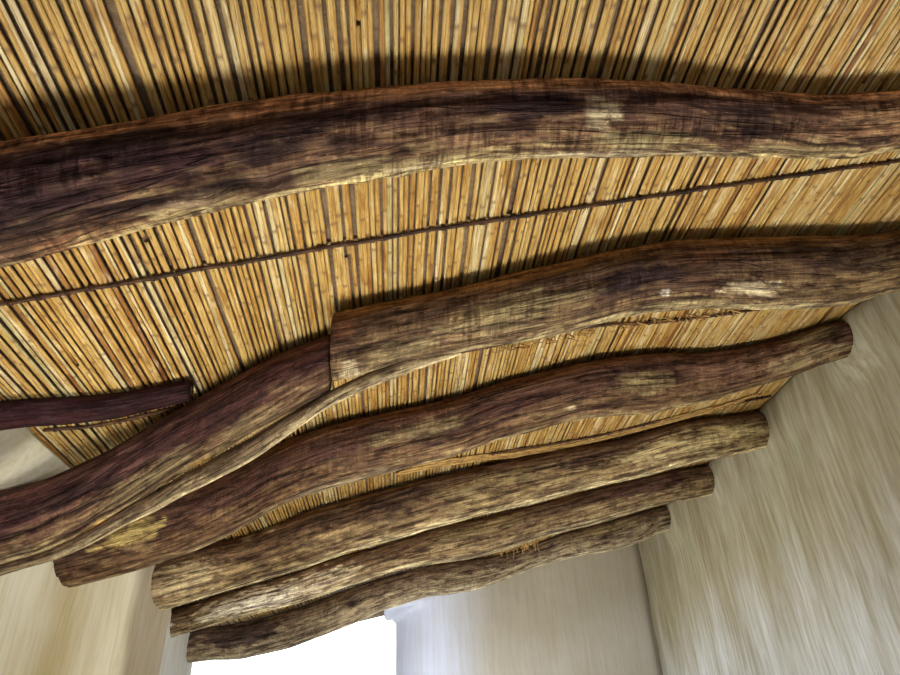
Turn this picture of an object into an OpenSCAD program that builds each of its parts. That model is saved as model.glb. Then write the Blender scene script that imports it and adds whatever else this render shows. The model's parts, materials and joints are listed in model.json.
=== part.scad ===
// Roof of a small adobe house: crooked log rafters carrying a deck of tied
// canes, an earth bed and clay tiles, on the heads of the adobe walls.
// Millimetres. X runs up the slope from the low wall to the high wall,
// Y runs in depth towards the back wall, Z is up. Origin: centre of the
// footprint, on the level where the walls are cut.

/* [Roof] */
// Slope of the roof, in degrees
roof_pitch = 11.4; // [8:0.1:14]
// Height of the underside of the canes above the seat, on the centre line
deck_z = 1332; // [1200:1:1500]
// Thickness of the layer of canes
cane_t = 16; // [12:1:24]
// Thickness of the earth bed on the canes
earth_t = 60; // [40:1:90]
// Thickness of the tile covering
tile_t = 70; // [50:1:90]

/* [Walls] */
// Outer face of the low wall, from the centre line
low_outer = 1950; // [1900:1:2000]
// Inner edge of the low wall's head below the canes, from the centre line
low_inner = 1330; // [1300:1:1340]
// Inner face of the high wall, from the centre line
high_inner = 1460; // [1440:1:1500]
// Outer face of the high wall, from the centre line
high_outer = 1960; // [1900:1:2000]
// Length of the side walls
wall_len = 5200; // [5100:10:5300]
// Inner face of the back wall, from the centre line
back_inner = 2170; // [2150:1:2200]
// Radius of the rounded jamb in the back wall
jamb_r = 430; // [380:1:430]

/* [Logs] */
// Number of sides of a log
log_sides = 12; // [8:2:16]
// Number of rings along a log
log_rings = 22; // [12:1:30]
// Clearance round a log in its wall pocket
pocket_gap = 14; // [10:1:25]

/* [Hidden] */
$fn = 48;
half_len = 2700;
half_wid = 2100;
wall_end = wall_len / 2;
rise = tan(roof_pitch);
lean = cos(roof_pitch);
// distance between the low wall's bend and the near end
bend_y = 200;
arris = [-1565, 1980];
soffit_clear = 3;

// Axes of the logs: each row is [x, y, radius, gap]; the height follows from
// the deck that the log carries, and the gap, where a log hangs below the
// deck, is 0 unless it is given.
near_pts = [[-1620, -2380, 95], [-1330, -2385, 92], [-600, -2410, 88],
  [0, -2395, 84], [700, -2410, 80], [1460, -2400, 74], [1720, -2400, 74]];
one_pts = [[-1620, -1720, 115], [-1330, -1740, 112], [-1000, -1785, 103],
  [-700, -1815, 90], [-400, -1835, 82], [-100, -1830, 75], [200, -1795, 74],
  [500, -1740, 70], [650, -1710, 69], [800, -1700, 72], [1000, -1700, 66],
  [1460, -1690, 68], [1720, -1690, 66]];
short_pts = [[-1620, -1020, 38], [-1330, -1000, 38], [-1150, -958, 36],
  [-1060, -948, 35], [-885, -957, 31]];
upper_pts = [[-465, -1150, 91], [-400, -1155, 90], [-300, -1164, 85],
  [-200, -1172, 85], [-100, -1184, 88], [0, -1198, 92], [90, -1210, 95],
  [190, -1222, 96], [340, -1242, 94], [480, -1237, 96], [630, -1213, 98],
  [780, -1185, 104], [930, -1158, 107], [1070, -1134, 106],
  [1220, -1123, 99], [1460, -1115, 95], [1720, -1110, 95]];
lower_pts = [[-1800, -720, 102, 132], [-1640, -712, 103, 124],
  [-1500, -690, 104, 112], [-1360, -660, 103, 92], [-1220, -678, 103, 64],
  [-1080, -728, 99, 34], [-940, -798, 97, 8], [-790, -890, 96, 0],
  [-650, -984, 92, 0], [-560, -1025, 84, 0], [-485, -1052, 77, 0]];
splint_pts = [[-1640, -616, 22, 292], [-1500, -596, 21, 282],
  [-1380, -588, 20, 272], [-1280, -610, 21, 268], [-1200, -640, 23, 256],
  [-1100, -672, 26, 228], [-1000, -714, 29, 210], [-900, -768, 31, 193],
  [-800, -827, 33, 186], [-700, -890, 34, 178], [-600, -950, 29, 164],
  [-500, -1000, 23, 147], [-400, -1070, 21, 152], [-300, -1104, 20, 144],
  [-200, -1120, 14, 148], [-130, -1128, 8, 152]];
three_pts = [[-1660, -190, 130], [-1330, -200, 128], [-1130, -215, 122],
  [-990, -240, 115], [-840, -310, 108], [-690, -420, 104],
  [-550, -490, 104], [-400, -505, 103], [-250, -515, 101],
  [-100, -530, 100], [40, -570, 96], [190, -595, 95], [340, -620, 96],
  [480, -610, 100], [630, -585, 104], [780, -545, 95], [920, -515, 87],
  [1070, -510, 78], [1210, -530, 76], [1360, -575, 73], [1460, -590, 72],
  [1720, -600, 72]];
four_pts = [[-1720, 430, 115], [-1330, 435, 116], [-1130, 435, 110],
  [-990, 440, 104], [-840, 380, 108], [-690, 290, 114], [-540, 255, 111],
  [-400, 225, 110], [-250, 200, 108], [-100, 180, 106], [190, 170, 104],
  [480, 170, 99], [780, 180, 95], [920, 145, 98], [1070, 130, 97],
  [1220, 155, 96], [1360, 185, 91], [1460, 190, 90], [1720, 190, 90]];
five_pts = [[-1760, 1360, 72], [-1440, 1330, 70], [-1290, 1280, 70],
  [-1140, 1240, 72], [-990, 1205, 76], [-840, 1170, 79], [-700, 1105, 81],
  [-550, 1065, 77], [-400, 1025, 75], [-260, 985, 77], [-110, 950, 85],
  [40, 925, 94], [190, 925, 96], [340, 905, 94], [480, 895, 88],
  [630, 895, 86], [780, 860, 88], [920, 850, 84], [1070, 835, 83],
  [1220, 825, 85], [1360, 845, 86], [1460, 850, 86], [1720, 850, 86]];
six_pts = [[-1840, 1840, 85], [-1540, 1900, 88], [-1430, 1940, 92],
  [-1280, 1980, 104], [-1130, 1990, 105], [-990, 1960, 108],
  [-840, 1905, 107], [-690, 1810, 109], [-540, 1745, 103],
  [-400, 1700, 94], [-250, 1665, 91], [-110, 1680, 85], [40, 1705, 91],
  [190, 1745, 91], [330, 1780, 83], [480, 1770, 73], [620, 1715, 69],
  [770, 1630, 77], [920, 1615, 81], [1070, 1595, 87], [1220, 1545, 90],
  [1360, 1520, 79], [1460, 1510, 77], [1720, 1510, 77]];

// Height of the underside of the canes at x
function soffit(x) = deck_z + x * rise;
// Height of the axis of a log of radius r at x, hung by gap
function axis_z(x, r, gap = 0) = soffit(x) - (r + soffit_clear + gap) / lean;

// Smooth curve through the rows of p: value k at x
function row(p, x, i = 0) =
  (i >= len(p) - 2 || x < p[i + 1][0]) ? i : row(p, x, i + 1);
function run(p, i, k) =
  let (a = max(i - 1, 0), b = min(i + 1, len(p) - 1))
    (p[b][k] - p[a][k]) / (p[b][0] - p[a][0]);
function smooth(p, x, k) =
  let (i = row(p, x), h = p[i + 1][0] - p[i][0], t = (x - p[i][0]) / h)
    (2 * pow(t, 3) - 3 * t * t + 1) * p[i][k]
    + (pow(t, 3) - 2 * t * t + t) * h * run(p, i, k)
    + (3 * t * t - 2 * pow(t, 3)) * p[i + 1][k]
    + (pow(t, 3) - t * t) * h * run(p, i + 1, k);
function axis_at(p, x) =
  let (r = smooth(p, x, 2), gap = len(p[0]) > 3 ? smooth(p, x, 3) : 0)
    [x, smooth(p, x, 1), axis_z(x, r, gap)];

// A rough round log along the curve p
module crooked_log(p, rings = log_rings, sides = log_sides) {
  x0 = p[0][0];
  x1 = p[len(p) - 1][0];
  pts = [for (j = [0:rings - 1])
    let (x = x0 + (x1 - x0) * j / (rings - 1), r = smooth(p, x, 2),
         c = axis_at(p, x))
      for (k = [0:sides - 1])
        [c[0], c[1] + r * cos(360 * k / sides),
         c[2] + r * sin(360 * k / sides) / lean]];
  faces = concat(
    [[for (k = [0:sides - 1]) k]],
    [[for (k = [0:sides - 1]) rings * sides - 1 - k]],
    [for (j = [0:rings - 2]) for (k = [0:sides - 1])
      let (a = j * sides + k, b = j * sides + (k + 1) % sides)
        [a, a + sides, b]],
    [for (j = [0:rings - 2]) for (k = [0:sides - 1])
      let (a = j * sides + k, b = j * sides + (k + 1) % sides)
        [b, a + sides, b + sides]]);
  polyhedron(pts, faces, convexity = 8);
}

// Round pocket that a log's end sits in: e is 0 for the low end
module pocket(p, e) {
  n = len(p) - 1;
  xa = e == 0 ? p[0][0] : p[n][0];
  xb = e == 0 ? xa + 300 : xa - 280;
  a = axis_at(p, xa);
  b = axis_at(p, xb);
  d = b - a;
  l = norm(d);
  r = max(smooth(p, xa, 2), smooth(p, xb, 2)) + pocket_gap;
  translate(a - d * 12 / l)
    rotate([0, acos(d[2] / l), atan2(d[1], d[0])])
      cylinder(r = r, h = l + 190);
}

module low_pockets() {
  for (p = [near_pts, one_pts, short_pts, lower_pts, splint_pts, three_pts,
            four_pts, five_pts, six_pts]) pocket(p, 0);
}
module high_pockets() {
  for (p = [near_pts, one_pts, upper_pts, three_pts, four_pts, five_pts,
            six_pts]) pocket(p, 1);
}

// Section of everything below the deck between xa and xb, from y ya to yb
module under_deck(xa, xb, ya, yb) {
  translate([0, yb, 0]) rotate([90, 0, 0]) linear_extrude(yb - ya)
    polygon([[xa, 0], [xb, 0], [xb, soffit(xb)], [xa, soffit(xa)]]);
}
// A sloping layer that lies t0 to t1 above the deck's underside
module layer(xa, xb, ya, yb, t0, t1) {
  translate([0, yb, 0]) rotate([90, 0, 0]) linear_extrude(yb - ya)
    polygon([[xa, soffit(xa) + t0 / lean], [xb, soffit(xb) + t0 / lean],
             [xb, soffit(xb) + t1 / lean], [xa, soffit(xa) + t1 / lean]]);
}
// Poles over the opening in the back wall
module poles(grow) {
  for (y = [2270, 2380, 2490])
    translate([-1840, y, soffit(-1840) - 33 / lean])
      rotate([0, 90 - roof_pitch, 0]) cylinder(r = 30 + grow, h = 2230);
}
// A thin cane tied across below the deck, from xa to xb through rows of p
module runner(p) {
  crooked_log(p, rings = 10, sides = 6);
}

// The low wall in plan: its inner face comes in from both ends to a bulge
module low_plan(near) {
  if (near) polygon([[-low_outer, -wall_end], [-1540, -wall_end],
    [-1540, -1000], [-1510, -650], [-1430, -200], [-1345, bend_y],
    [-low_outer, bend_y]]);
  else polygon([[-low_outer, bend_y], [-1345, bend_y], [-1290, 550],
    [-1500, 1250], arris, [-1700, wall_end], [-low_outer, wall_end]]);
}
module low_wall_near() {
  color("#b9b4a2") difference() {
    union() {
      intersection() {
        under_deck(-low_outer, -1300, -wall_end, bend_y);
        translate([0, 0, -10]) linear_extrude(2400) low_plan(true);
      }
      // mud packing that fills the corner below the deck between the logs
      translate([0, bend_y, 0]) rotate([90, 0, 0])
        linear_extrude(bend_y + wall_end)
          polygon([[-1640, soffit(-1640)], [-low_inner, soffit(-low_inner)],
                   [-1560, soffit(-low_inner) - 250], [-1640, 700]]);
    }
    low_pockets();
  }
}
module low_wall_far() {
  color("#b3ad9b") difference() {
    intersection() {
      under_deck(-low_outer, -1280, bend_y, wall_end);
      translate([0, 0, -10]) linear_extrude(2400) low_plan(false);
    }
    low_pockets();
    poles(pocket_gap);
  }
}
module high_wall_near() {
  color("#a9a18a") difference() {
    under_deck(high_inner, high_outer, -wall_end, 0);
    high_pockets();
  }
}
module high_wall_far() {
  color("#a9a18a") difference() {
    under_deck(high_inner, high_outer, 0, wall_end);
    high_pockets();
  }
}
module back_wall() {
  color("#aca698") difference() {
    intersection() {
      under_deck(-400, high_inner, back_inner, wall_end);
      translate([0, 0, -10]) linear_extrude(2400) intersection() {
        translate([-400, wall_end - jamb_r]) square([1860, jamb_r]);
        union() {
          translate([130, wall_end]) circle(r = jamb_r);
          translate([130, wall_end - jamb_r]) square([1330, jamb_r]);
        }
      }
    }
    poles(pocket_gap);
  }
}

module rafter_near() { color("#6a5644") crooked_log(near_pts); }
module rafter_1() { color("#6e5a46") crooked_log(one_pts); }
module rafter_short() { color("#4b3a35") crooked_log(short_pts, rings = 8); }
module rafter_2_upper() { color("#6c5847") crooked_log(upper_pts); }
module rafter_2_lower() { color("#675645") crooked_log(lower_pts); }
module rafter_2_splint() {
  color("#73695a") crooked_log(splint_pts, sides = 8);
}
module rafter_3() { color("#6b5646") crooked_log(three_pts); }
module rafter_4() { color("#7a6e53") crooked_log(four_pts); }
module rafter_5() { color("#7c6f55") crooked_log(five_pts); }
module rafter_6() { color("#6d6450") crooked_log(six_pts); }
module lintel_poles() { color("#6d6450") poles(0); }

module runner_1() {
  color("#8a6a3a") runner([[-1320, -2200, 6], [0, -2215, 6], [1450, -2205, 6]]);
}
module runner_2() {
  color("#8a6a3a") runner([[-1320, -1400, 6], [-600, -1440, 6],
    [-200, -1460, 6], [600, -1475, 6], [1450, -1485, 6]]);
}
module runner_3() {
  color("#8a6a3a") {
    runner([[-1320, -825, 6], [-1180, -800, 6], [-960, -820, 6]]);
    runner([[-690, -840, 6], [0, -868, 6], [370, -880, 6], [580, -840, 6],
            [910, -812, 6], [1450, -805, 6]]);
  }
}
module runner_4() {
  color("#8a6a3a") runner([[-300, 20, 6], [150, 35, 6], [620, 70, 6],
    [900, 45, 6], [1450, 10, 6]]);
}
module runner_5() {
  color("#8a6a3a") runner([[-1320, 650, 6], [0, 520, 6], [1450, 530, 6]]);
}
module runner_6() {
  color("#8a6a3a") runner([[-1400, 1560, 6], [0, 1340, 6], [1450, 1210, 6]]);
}
module runner_7() {
  color("#8a6a3a") runner([[-600, 2100, 6], [400, 2080, 6], [1450, 2070, 6]]);
}

mat_w = 832;
module cane_mat(i) {
  color(i % 2 == 0 ? "#b08f4f" : "#a98648")
    layer(-2080 + mat_w * i, -2080 + mat_w * (i + 1), -2690, 2690, 0, cane_t);
}
module cane_mat_1() { cane_mat(0); }
module cane_mat_2() { cane_mat(1); }
module cane_mat_3() { cane_mat(2); }
module cane_mat_4() { cane_mat(3); }
module cane_mat_5() { cane_mat(4); }
module earth_bed_low() {
  color("#8f7455") layer(-2070, 0, -2680, 2680, cane_t, cane_t + earth_t);
}
module earth_bed_high() {
  color("#8f7455") layer(0, 2070, -2680, 2680, cane_t, cane_t + earth_t);
}
module tile_field(ya, yb) {
  color("#a5694a") layer(-half_wid, 1900, ya, yb, cane_t + earth_t,
                         cane_t + earth_t + tile_t);
}
module tiles_near() { tile_field(-half_len, -900); }
module tiles_middle() { tile_field(-900, 900); }
module tiles_back() { tile_field(900, half_len); }
module top_edge_tiles() {
  zt = soffit(2000) + (cane_t + earth_t) / lean + 20;
  color("#a5694a") difference() {
    translate([2000, -half_len, zt]) rotate([-90, 0, 0])
      cylinder(r = 100, h = 2 * half_len);
    under_deck(1850, 2150, -2800, 2800);
    translate([0, 0, (cane_t + earth_t) / lean])
      under_deck(1850, 2150, -2800, 2800);
  }
}

low_wall_near();
low_wall_far();
high_wall_near();
high_wall_far();
back_wall();
rafter_near();
rafter_1();
rafter_short();
rafter_2_upper();
rafter_2_lower();
rafter_2_splint();
rafter_3();
rafter_4();
rafter_5();
rafter_6();
lintel_poles();
runner_1();
runner_2();
runner_3();
runner_4();
runner_5();
runner_6();
runner_7();
cane_mat_1();
cane_mat_2();
cane_mat_3();
cane_mat_4();
cane_mat_5();
earth_bed_low();
earth_bed_high();
tiles_near();
tiles_middle();
tiles_back();
top_edge_tiles();
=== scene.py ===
import json
import math

import bmesh
import bpy
import numpy as np
from mathutils import Matrix, Vector

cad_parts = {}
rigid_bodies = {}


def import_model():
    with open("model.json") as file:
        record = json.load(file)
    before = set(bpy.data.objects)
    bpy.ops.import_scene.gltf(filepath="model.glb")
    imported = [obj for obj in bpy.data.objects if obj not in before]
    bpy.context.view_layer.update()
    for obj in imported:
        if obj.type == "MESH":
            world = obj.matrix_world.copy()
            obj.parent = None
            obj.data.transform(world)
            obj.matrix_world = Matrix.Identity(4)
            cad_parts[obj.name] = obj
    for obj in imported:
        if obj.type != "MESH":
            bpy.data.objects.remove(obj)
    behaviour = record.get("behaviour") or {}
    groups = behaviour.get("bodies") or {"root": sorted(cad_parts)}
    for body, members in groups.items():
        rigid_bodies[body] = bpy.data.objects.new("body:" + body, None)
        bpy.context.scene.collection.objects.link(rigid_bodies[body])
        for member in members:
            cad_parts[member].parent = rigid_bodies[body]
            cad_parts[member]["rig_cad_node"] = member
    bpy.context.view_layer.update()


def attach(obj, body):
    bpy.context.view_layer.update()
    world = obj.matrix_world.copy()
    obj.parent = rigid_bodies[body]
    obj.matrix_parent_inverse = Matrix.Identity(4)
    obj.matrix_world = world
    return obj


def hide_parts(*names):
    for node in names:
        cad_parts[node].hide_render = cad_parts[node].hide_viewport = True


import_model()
scene = bpy.context.scene

# ---------------------------------------------------------------- the roof's geometry, in metres
PITCH = math.radians(11.4)
RISE = math.tan(PITCH)
LEAN = math.cos(PITCH)
DECK = 1.332
CLEAR = 0.003


def soffit(x):
    """Height of the underside of the canes at x."""
    return DECK + x * RISE


# rows of a log: x, y, radius and, where it hangs below the deck, the gap
LOGS = {
    "rafter_near": [(-1.620, -2.380, .095), (-1.330, -2.385, .092), (-.600, -2.410, .088), (0, -2.395, .084),
                    (.700, -2.410, .080), (1.460, -2.400, .074), (1.720, -2.400, .074)],
    "rafter_1": [(-1.620, -1.720, .115), (-1.330, -1.740, .112), (-1.000, -1.785, .103), (-.700, -1.815, .090),
                 (-.400, -1.835, .082), (-.100, -1.830, .075), (.200, -1.795, .074), (.500, -1.740, .070),
                 (.650, -1.710, .069), (.800, -1.700, .072), (1.000, -1.700, .066), (1.460, -1.690, .068),
                 (1.720, -1.690, .066)],
    "rafter_short": [(-1.620, -1.020, .038), (-1.330, -1.000, .038), (-1.150, -.958, .036), (-1.060, -.948, .035),
                     (-.885, -.957, .031)],
    "rafter_2_upper": [(-.465, -1.150, .091), (-.400, -1.155, .090), (-.300, -1.164, .085), (-.200, -1.172, .085),
                       (-.100, -1.184, .088), (0, -1.198, .092), (.090, -1.210, .095), (.190, -1.222, .096),
                       (.340, -1.242, .094), (.480, -1.237, .096), (.630, -1.213, .098), (.780, -1.185, .104),
                       (.930, -1.158, .107), (1.070, -1.134, .106), (1.220, -1.123, .099), (1.460, -1.115, .095),
                       (1.720, -1.110, .095)],
    "rafter_2_lower": [(-1.800, -.720, .102, .132), (-1.640, -.712, .103, .124), (-1.500, -.690, .104, .112),
                       (-1.360, -.660, .103, .092), (-1.220, -.678, .103, .064), (-1.080, -.728, .099, .034),
                       (-.940, -.798, .097, .008), (-.790, -.890, .096, 0), (-.650, -.984, .092, 0),
                       (-.560, -1.025, .084, 0), (-.485, -1.052, .077, 0)],
    "rafter_2_splint": [(-1.640, -.616, .022, .292), (-1.500, -.596, .021, .282), (-1.380, -.588, .020, .272),
                        (-1.280, -.610, .021, .268), (-1.200, -.640, .023, .256), (-1.100, -.672, .026, .228),
                        (-1.000, -.714, .029, .210), (-.900, -.768, .031, .193), (-.800, -.827, .033, .186),
                        (-.700, -.890, .034, .178), (-.600, -.950, .029, .164), (-.500, -1.000, .023, .147),
                        (-.400, -1.070, .021, .152), (-.300, -1.104, .020, .144), (-.200, -1.120, .014, .148),
                        (-.130, -1.128, .008, .152)],
    "rafter_3": [(-1.660, -.190, .130), (-1.330, -.200, .128), (-1.130, -.215, .122), (-.990, -.240, .115),
                 (-.840, -.310, .108), (-.690, -.420, .104), (-.550, -.490, .104), (-.400, -.505, .103),
                 (-.250, -.515, .101), (-.100, -.530, .100), (.040, -.570, .096), (.190, -.595, .095),
                 (.340, -.620, .096), (.480, -.610, .100), (.630, -.585, .104), (.780, -.545, .095),
                 (.920, -.515, .087), (1.070, -.510, .078), (1.210, -.530, .076), (1.360, -.575, .073),
                 (1.460, -.590, .072), (1.720, -.600, .072)],
    "rafter_4": [(-1.720, .430, .115), (-1.330, .435, .116), (-1.130, .435, .110), (-.990, .440, .104),
                 (-.840, .380, .108), (-.690, .290, .114), (-.540, .255, .111), (-.400, .225, .110),
                 (-.250, .200, .108), (-.100, .180, .106), (.190, .170, .104), (.480, .170, .099),
                 (.780, .180, .095), (.920, .145, .098), (1.070, .130, .097), (1.220, .155, .096),
                 (1.360, .185, .091), (1.460, .190, .090), (1.720, .190, .090)],
    "rafter_5": [(-1.760, 1.360, .072), (-1.440, 1.330, .070), (-1.290, 1.280, .070), (-1.140, 1.240, .072),
                 (-.990, 1.205, .076), (-.840, 1.170, .079), (-.700, 1.105, .081), (-.550, 1.065, .077),
                 (-.400, 1.025, .075), (-.260, .985, .077), (-.110, .950, .085), (.040, .925, .094),
                 (.190, .925, .096), (.340, .905, .094), (.480, .895, .088), (.630, .895, .086),
                 (.780, .860, .088), (.920, .850, .084), (1.070, .835, .083), (1.220, .825, .085),
                 (1.360, .845, .086), (1.460, .850, .086), (1.720, .850, .086)],
    "rafter_6": [(-1.840, 1.840, .085), (-1.540, 1.900, .088), (-1.430, 1.940, .092), (-1.280, 1.980, .104),
                 (-1.130, 1.990, .105), (-.990, 1.960, .108), (-.840, 1.905, .107), (-.690, 1.810, .109),
                 (-.540, 1.745, .103), (-.400, 1.700, .094), (-.250, 1.665, .091), (-.110, 1.680, .085),
                 (.040, 1.705, .091), (.190, 1.745, .091), (.330, 1.780, .083), (.480, 1.770, .073),
                 (.620, 1.715, .069), (.770, 1.630, .077), (.920, 1.615, .081), (1.070, 1.595, .087),
                 (1.220, 1.545, .090), (1.360, 1.520, .079), (1.460, 1.510, .077), (1.720, 1.510, .077)],
}


def smooth_rows(rows, x, k):
    """Column k of the rows at x, on the same smooth curve as the part's source."""
    p = np.array([(r + (0,))[:4] for r in [tuple(q) + (0,) * (4 - len(q)) for q in rows]], float)
    x = np.atleast_1d(np.asarray(x, float))
    n = len(p)
    i = np.clip(np.searchsorted(p[:, 0], x, side="right") - 1, 0, n - 2)
    h = p[i + 1, 0] - p[i, 0]
    t = (x - p[i, 0]) / h
    a0, b0 = np.maximum(i - 1, 0), np.minimum(i + 1, n - 1)
    a1, b1 = np.maximum(i, 0), np.minimum(i + 2, n - 1)
    m0 = (p[b0, k] - p[a0, k]) / (p[b0, 0] - p[a0, 0])
    m1 = (p[b1, k] - p[a1, k]) / (p[b1, 0] - p[a1, 0])
    t2, t3 = t * t, t * t * t
    return ((2 * t3 - 3 * t2 + 1) * p[i, k] + (t3 - 2 * t2 + t) * h * m0
            + (3 * t2 - 2 * t3) * p[i + 1, k] + (t3 - t2) * h * m1)


def log_axis(rows, x):
    """y, z and radius of a log at x."""
    r = smooth_rows(rows, x, 2)
    gap = smooth_rows(rows, x, 3)
    return smooth_rows(rows, x, 1), soffit(np.atleast_1d(x)) - (r + CLEAR + gap) / LEAN, r


# ---------------------------------------------------------------- noise
def _hash(ix, iy, iz, seed):
    m = np.int64(0xFFFFFFFF)
    h = (ix * 374761393 + iy * 668265263 + iz * 1442695041 + seed * 974634777) & m
    h = ((h ^ (h >> 13)) * 1274126177) & m
    h = ((h ^ (h >> 15)) * 668265263) & m
    return (h ^ (h >> 16)) / 4294967295.0 * 2 - 1


def vnoise(p, seed=0):
    """Smooth value noise in -1..1 at the points p (n, 3)."""
    i = np.floor(p).astype(np.int64)
    f = p - i
    u = f * f * f * (f * (f * 6 - 15) + 10)
    out = np.zeros(len(p))
    for dx in (0, 1):
        wx = u[:, 0] if dx else 1 - u[:, 0]
        for dy in (0, 1):
            wy = wx * (u[:, 1] if dy else 1 - u[:, 1])
            for dz in (0, 1):
                w = wy * (u[:, 2] if dz else 1 - u[:, 2])
                out += w * _hash(i[:, 0] + dx, i[:, 1] + dy, i[:, 2] + dz, seed)
    return out


def fbm(p, seed=0, octaves=4, gain=0.5):
    out, amp, total = np.zeros(len(p)), 1.0, 0.0
    for o in range(octaves):
        out += amp * vnoise(p * (2.03 ** o) + 17.3 * o, seed + o * 31)
        total += amp
        amp *= gain
    return out / total


def ss(a, b, v):
    t = np.clip((v - a) / (b - a), 0, 1)
    return t * t * (3 - 2 * t)


# ---------------------------------------------------------------- meshes
def build(name, co, quads=None, tris=None, attrs=None, smooth=True):
    me = bpy.data.meshes.new(name)
    quads = np.zeros((0, 4), int) if quads is None else np.asarray(quads, int)
    tris = np.zeros((0, 3), int) if tris is None else np.asarray(tris, int)
    nq, nt = len(quads), len(tris)
    me.vertices.add(len(co))
    me.vertices.foreach_set("co", np.asarray(co, np.float32).ravel())
    loops = np.concatenate([quads.ravel(), tris.ravel()]).astype(np.int32)
    me.loops.add(len(loops))
    me.loops.foreach_set("vertex_index", loops)
    me.polygons.add(nq + nt)
    starts = np.concatenate([np.arange(nq) * 4, nq * 4 + np.arange(nt) * 3]).astype(np.int32)
    me.polygons.foreach_set("loop_start", starts)
    me.polygons.foreach_set("use_smooth", np.full(nq + nt, smooth))
    me.update(calc_edges=True)
    me.validate()
    ob = bpy.data.objects.new(name, me)
    scene.collection.objects.link(ob)
    set_attrs(ob, attrs or {})
    return ob


def set_attrs(ob, attrs):
    me = ob.data
    for key, value in attrs.items():
        value = np.asarray(value, np.float32)
        if value.ndim == 1:
            a = me.attributes.new(key, "FLOAT", "POINT")
            a.data.foreach_set("value", value)
        elif key == "flow":
            a = me.attributes.new(key, "FLOAT_VECTOR", "POINT")
            a.data.foreach_set("vector", value.ravel())
        else:
            a = me.attributes.new(key, "FLOAT_COLOR", "POINT")
            rgba = np.ones((len(value), 4), np.float32)
            rgba[:, :3] = value
            a.data.foreach_set("color", rgba.ravel())


def coords(ob):
    co = np.zeros(len(ob.data.vertices) * 3, np.float32)
    ob.data.vertices.foreach_get("co", co)
    return co.reshape(-1, 3).astype(float)


def normals(ob):
    no = np.zeros(len(ob.data.vertices) * 3, np.float32)
    ob.data.vertices.foreach_get("normal", no)
    return no.reshape(-1, 3).astype(float)


def tube_faces(nr, ns, base=0, flip=False):
    j = np.arange(nr - 1)[:, None]
    k = np.arange(ns)[None, :]
    a = base + j * ns + k
    b = base + j * ns + (k + 1) % ns
    q = np.stack([a, a + ns, b + ns, b], -1).reshape(-1, 4)
    return q[:, ::-1] if flip else q


def cap_faces(first, ns, centre, flip):
    k = np.arange(ns)
    t = np.stack([first + k, first + (k + 1) % ns, np.full(ns, centre)], -1)
    return t[:, ::-1] if flip else t


def join_parts(parts):
    """Joins (co, quads, tris, attrs) tuples into one set of arrays."""
    co, quads, tris, attrs, n = [], [], [], {}, 0
    for c, q, t, a in parts:
        co.append(c)
        if q is not None and len(q):
            quads.append(np.asarray(q) + n)
        if t is not None and len(t):
            tris.append(np.asarray(t) + n)
        for key, value in a.items():
            attrs.setdefault(key, []).append(np.asarray(value, float))
        n += len(c)
    return (np.concatenate(co), np.concatenate(quads) if quads else None,
            np.concatenate(tris) if tris else None, {k: np.concatenate(v) for k, v in attrs.items()})


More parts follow.
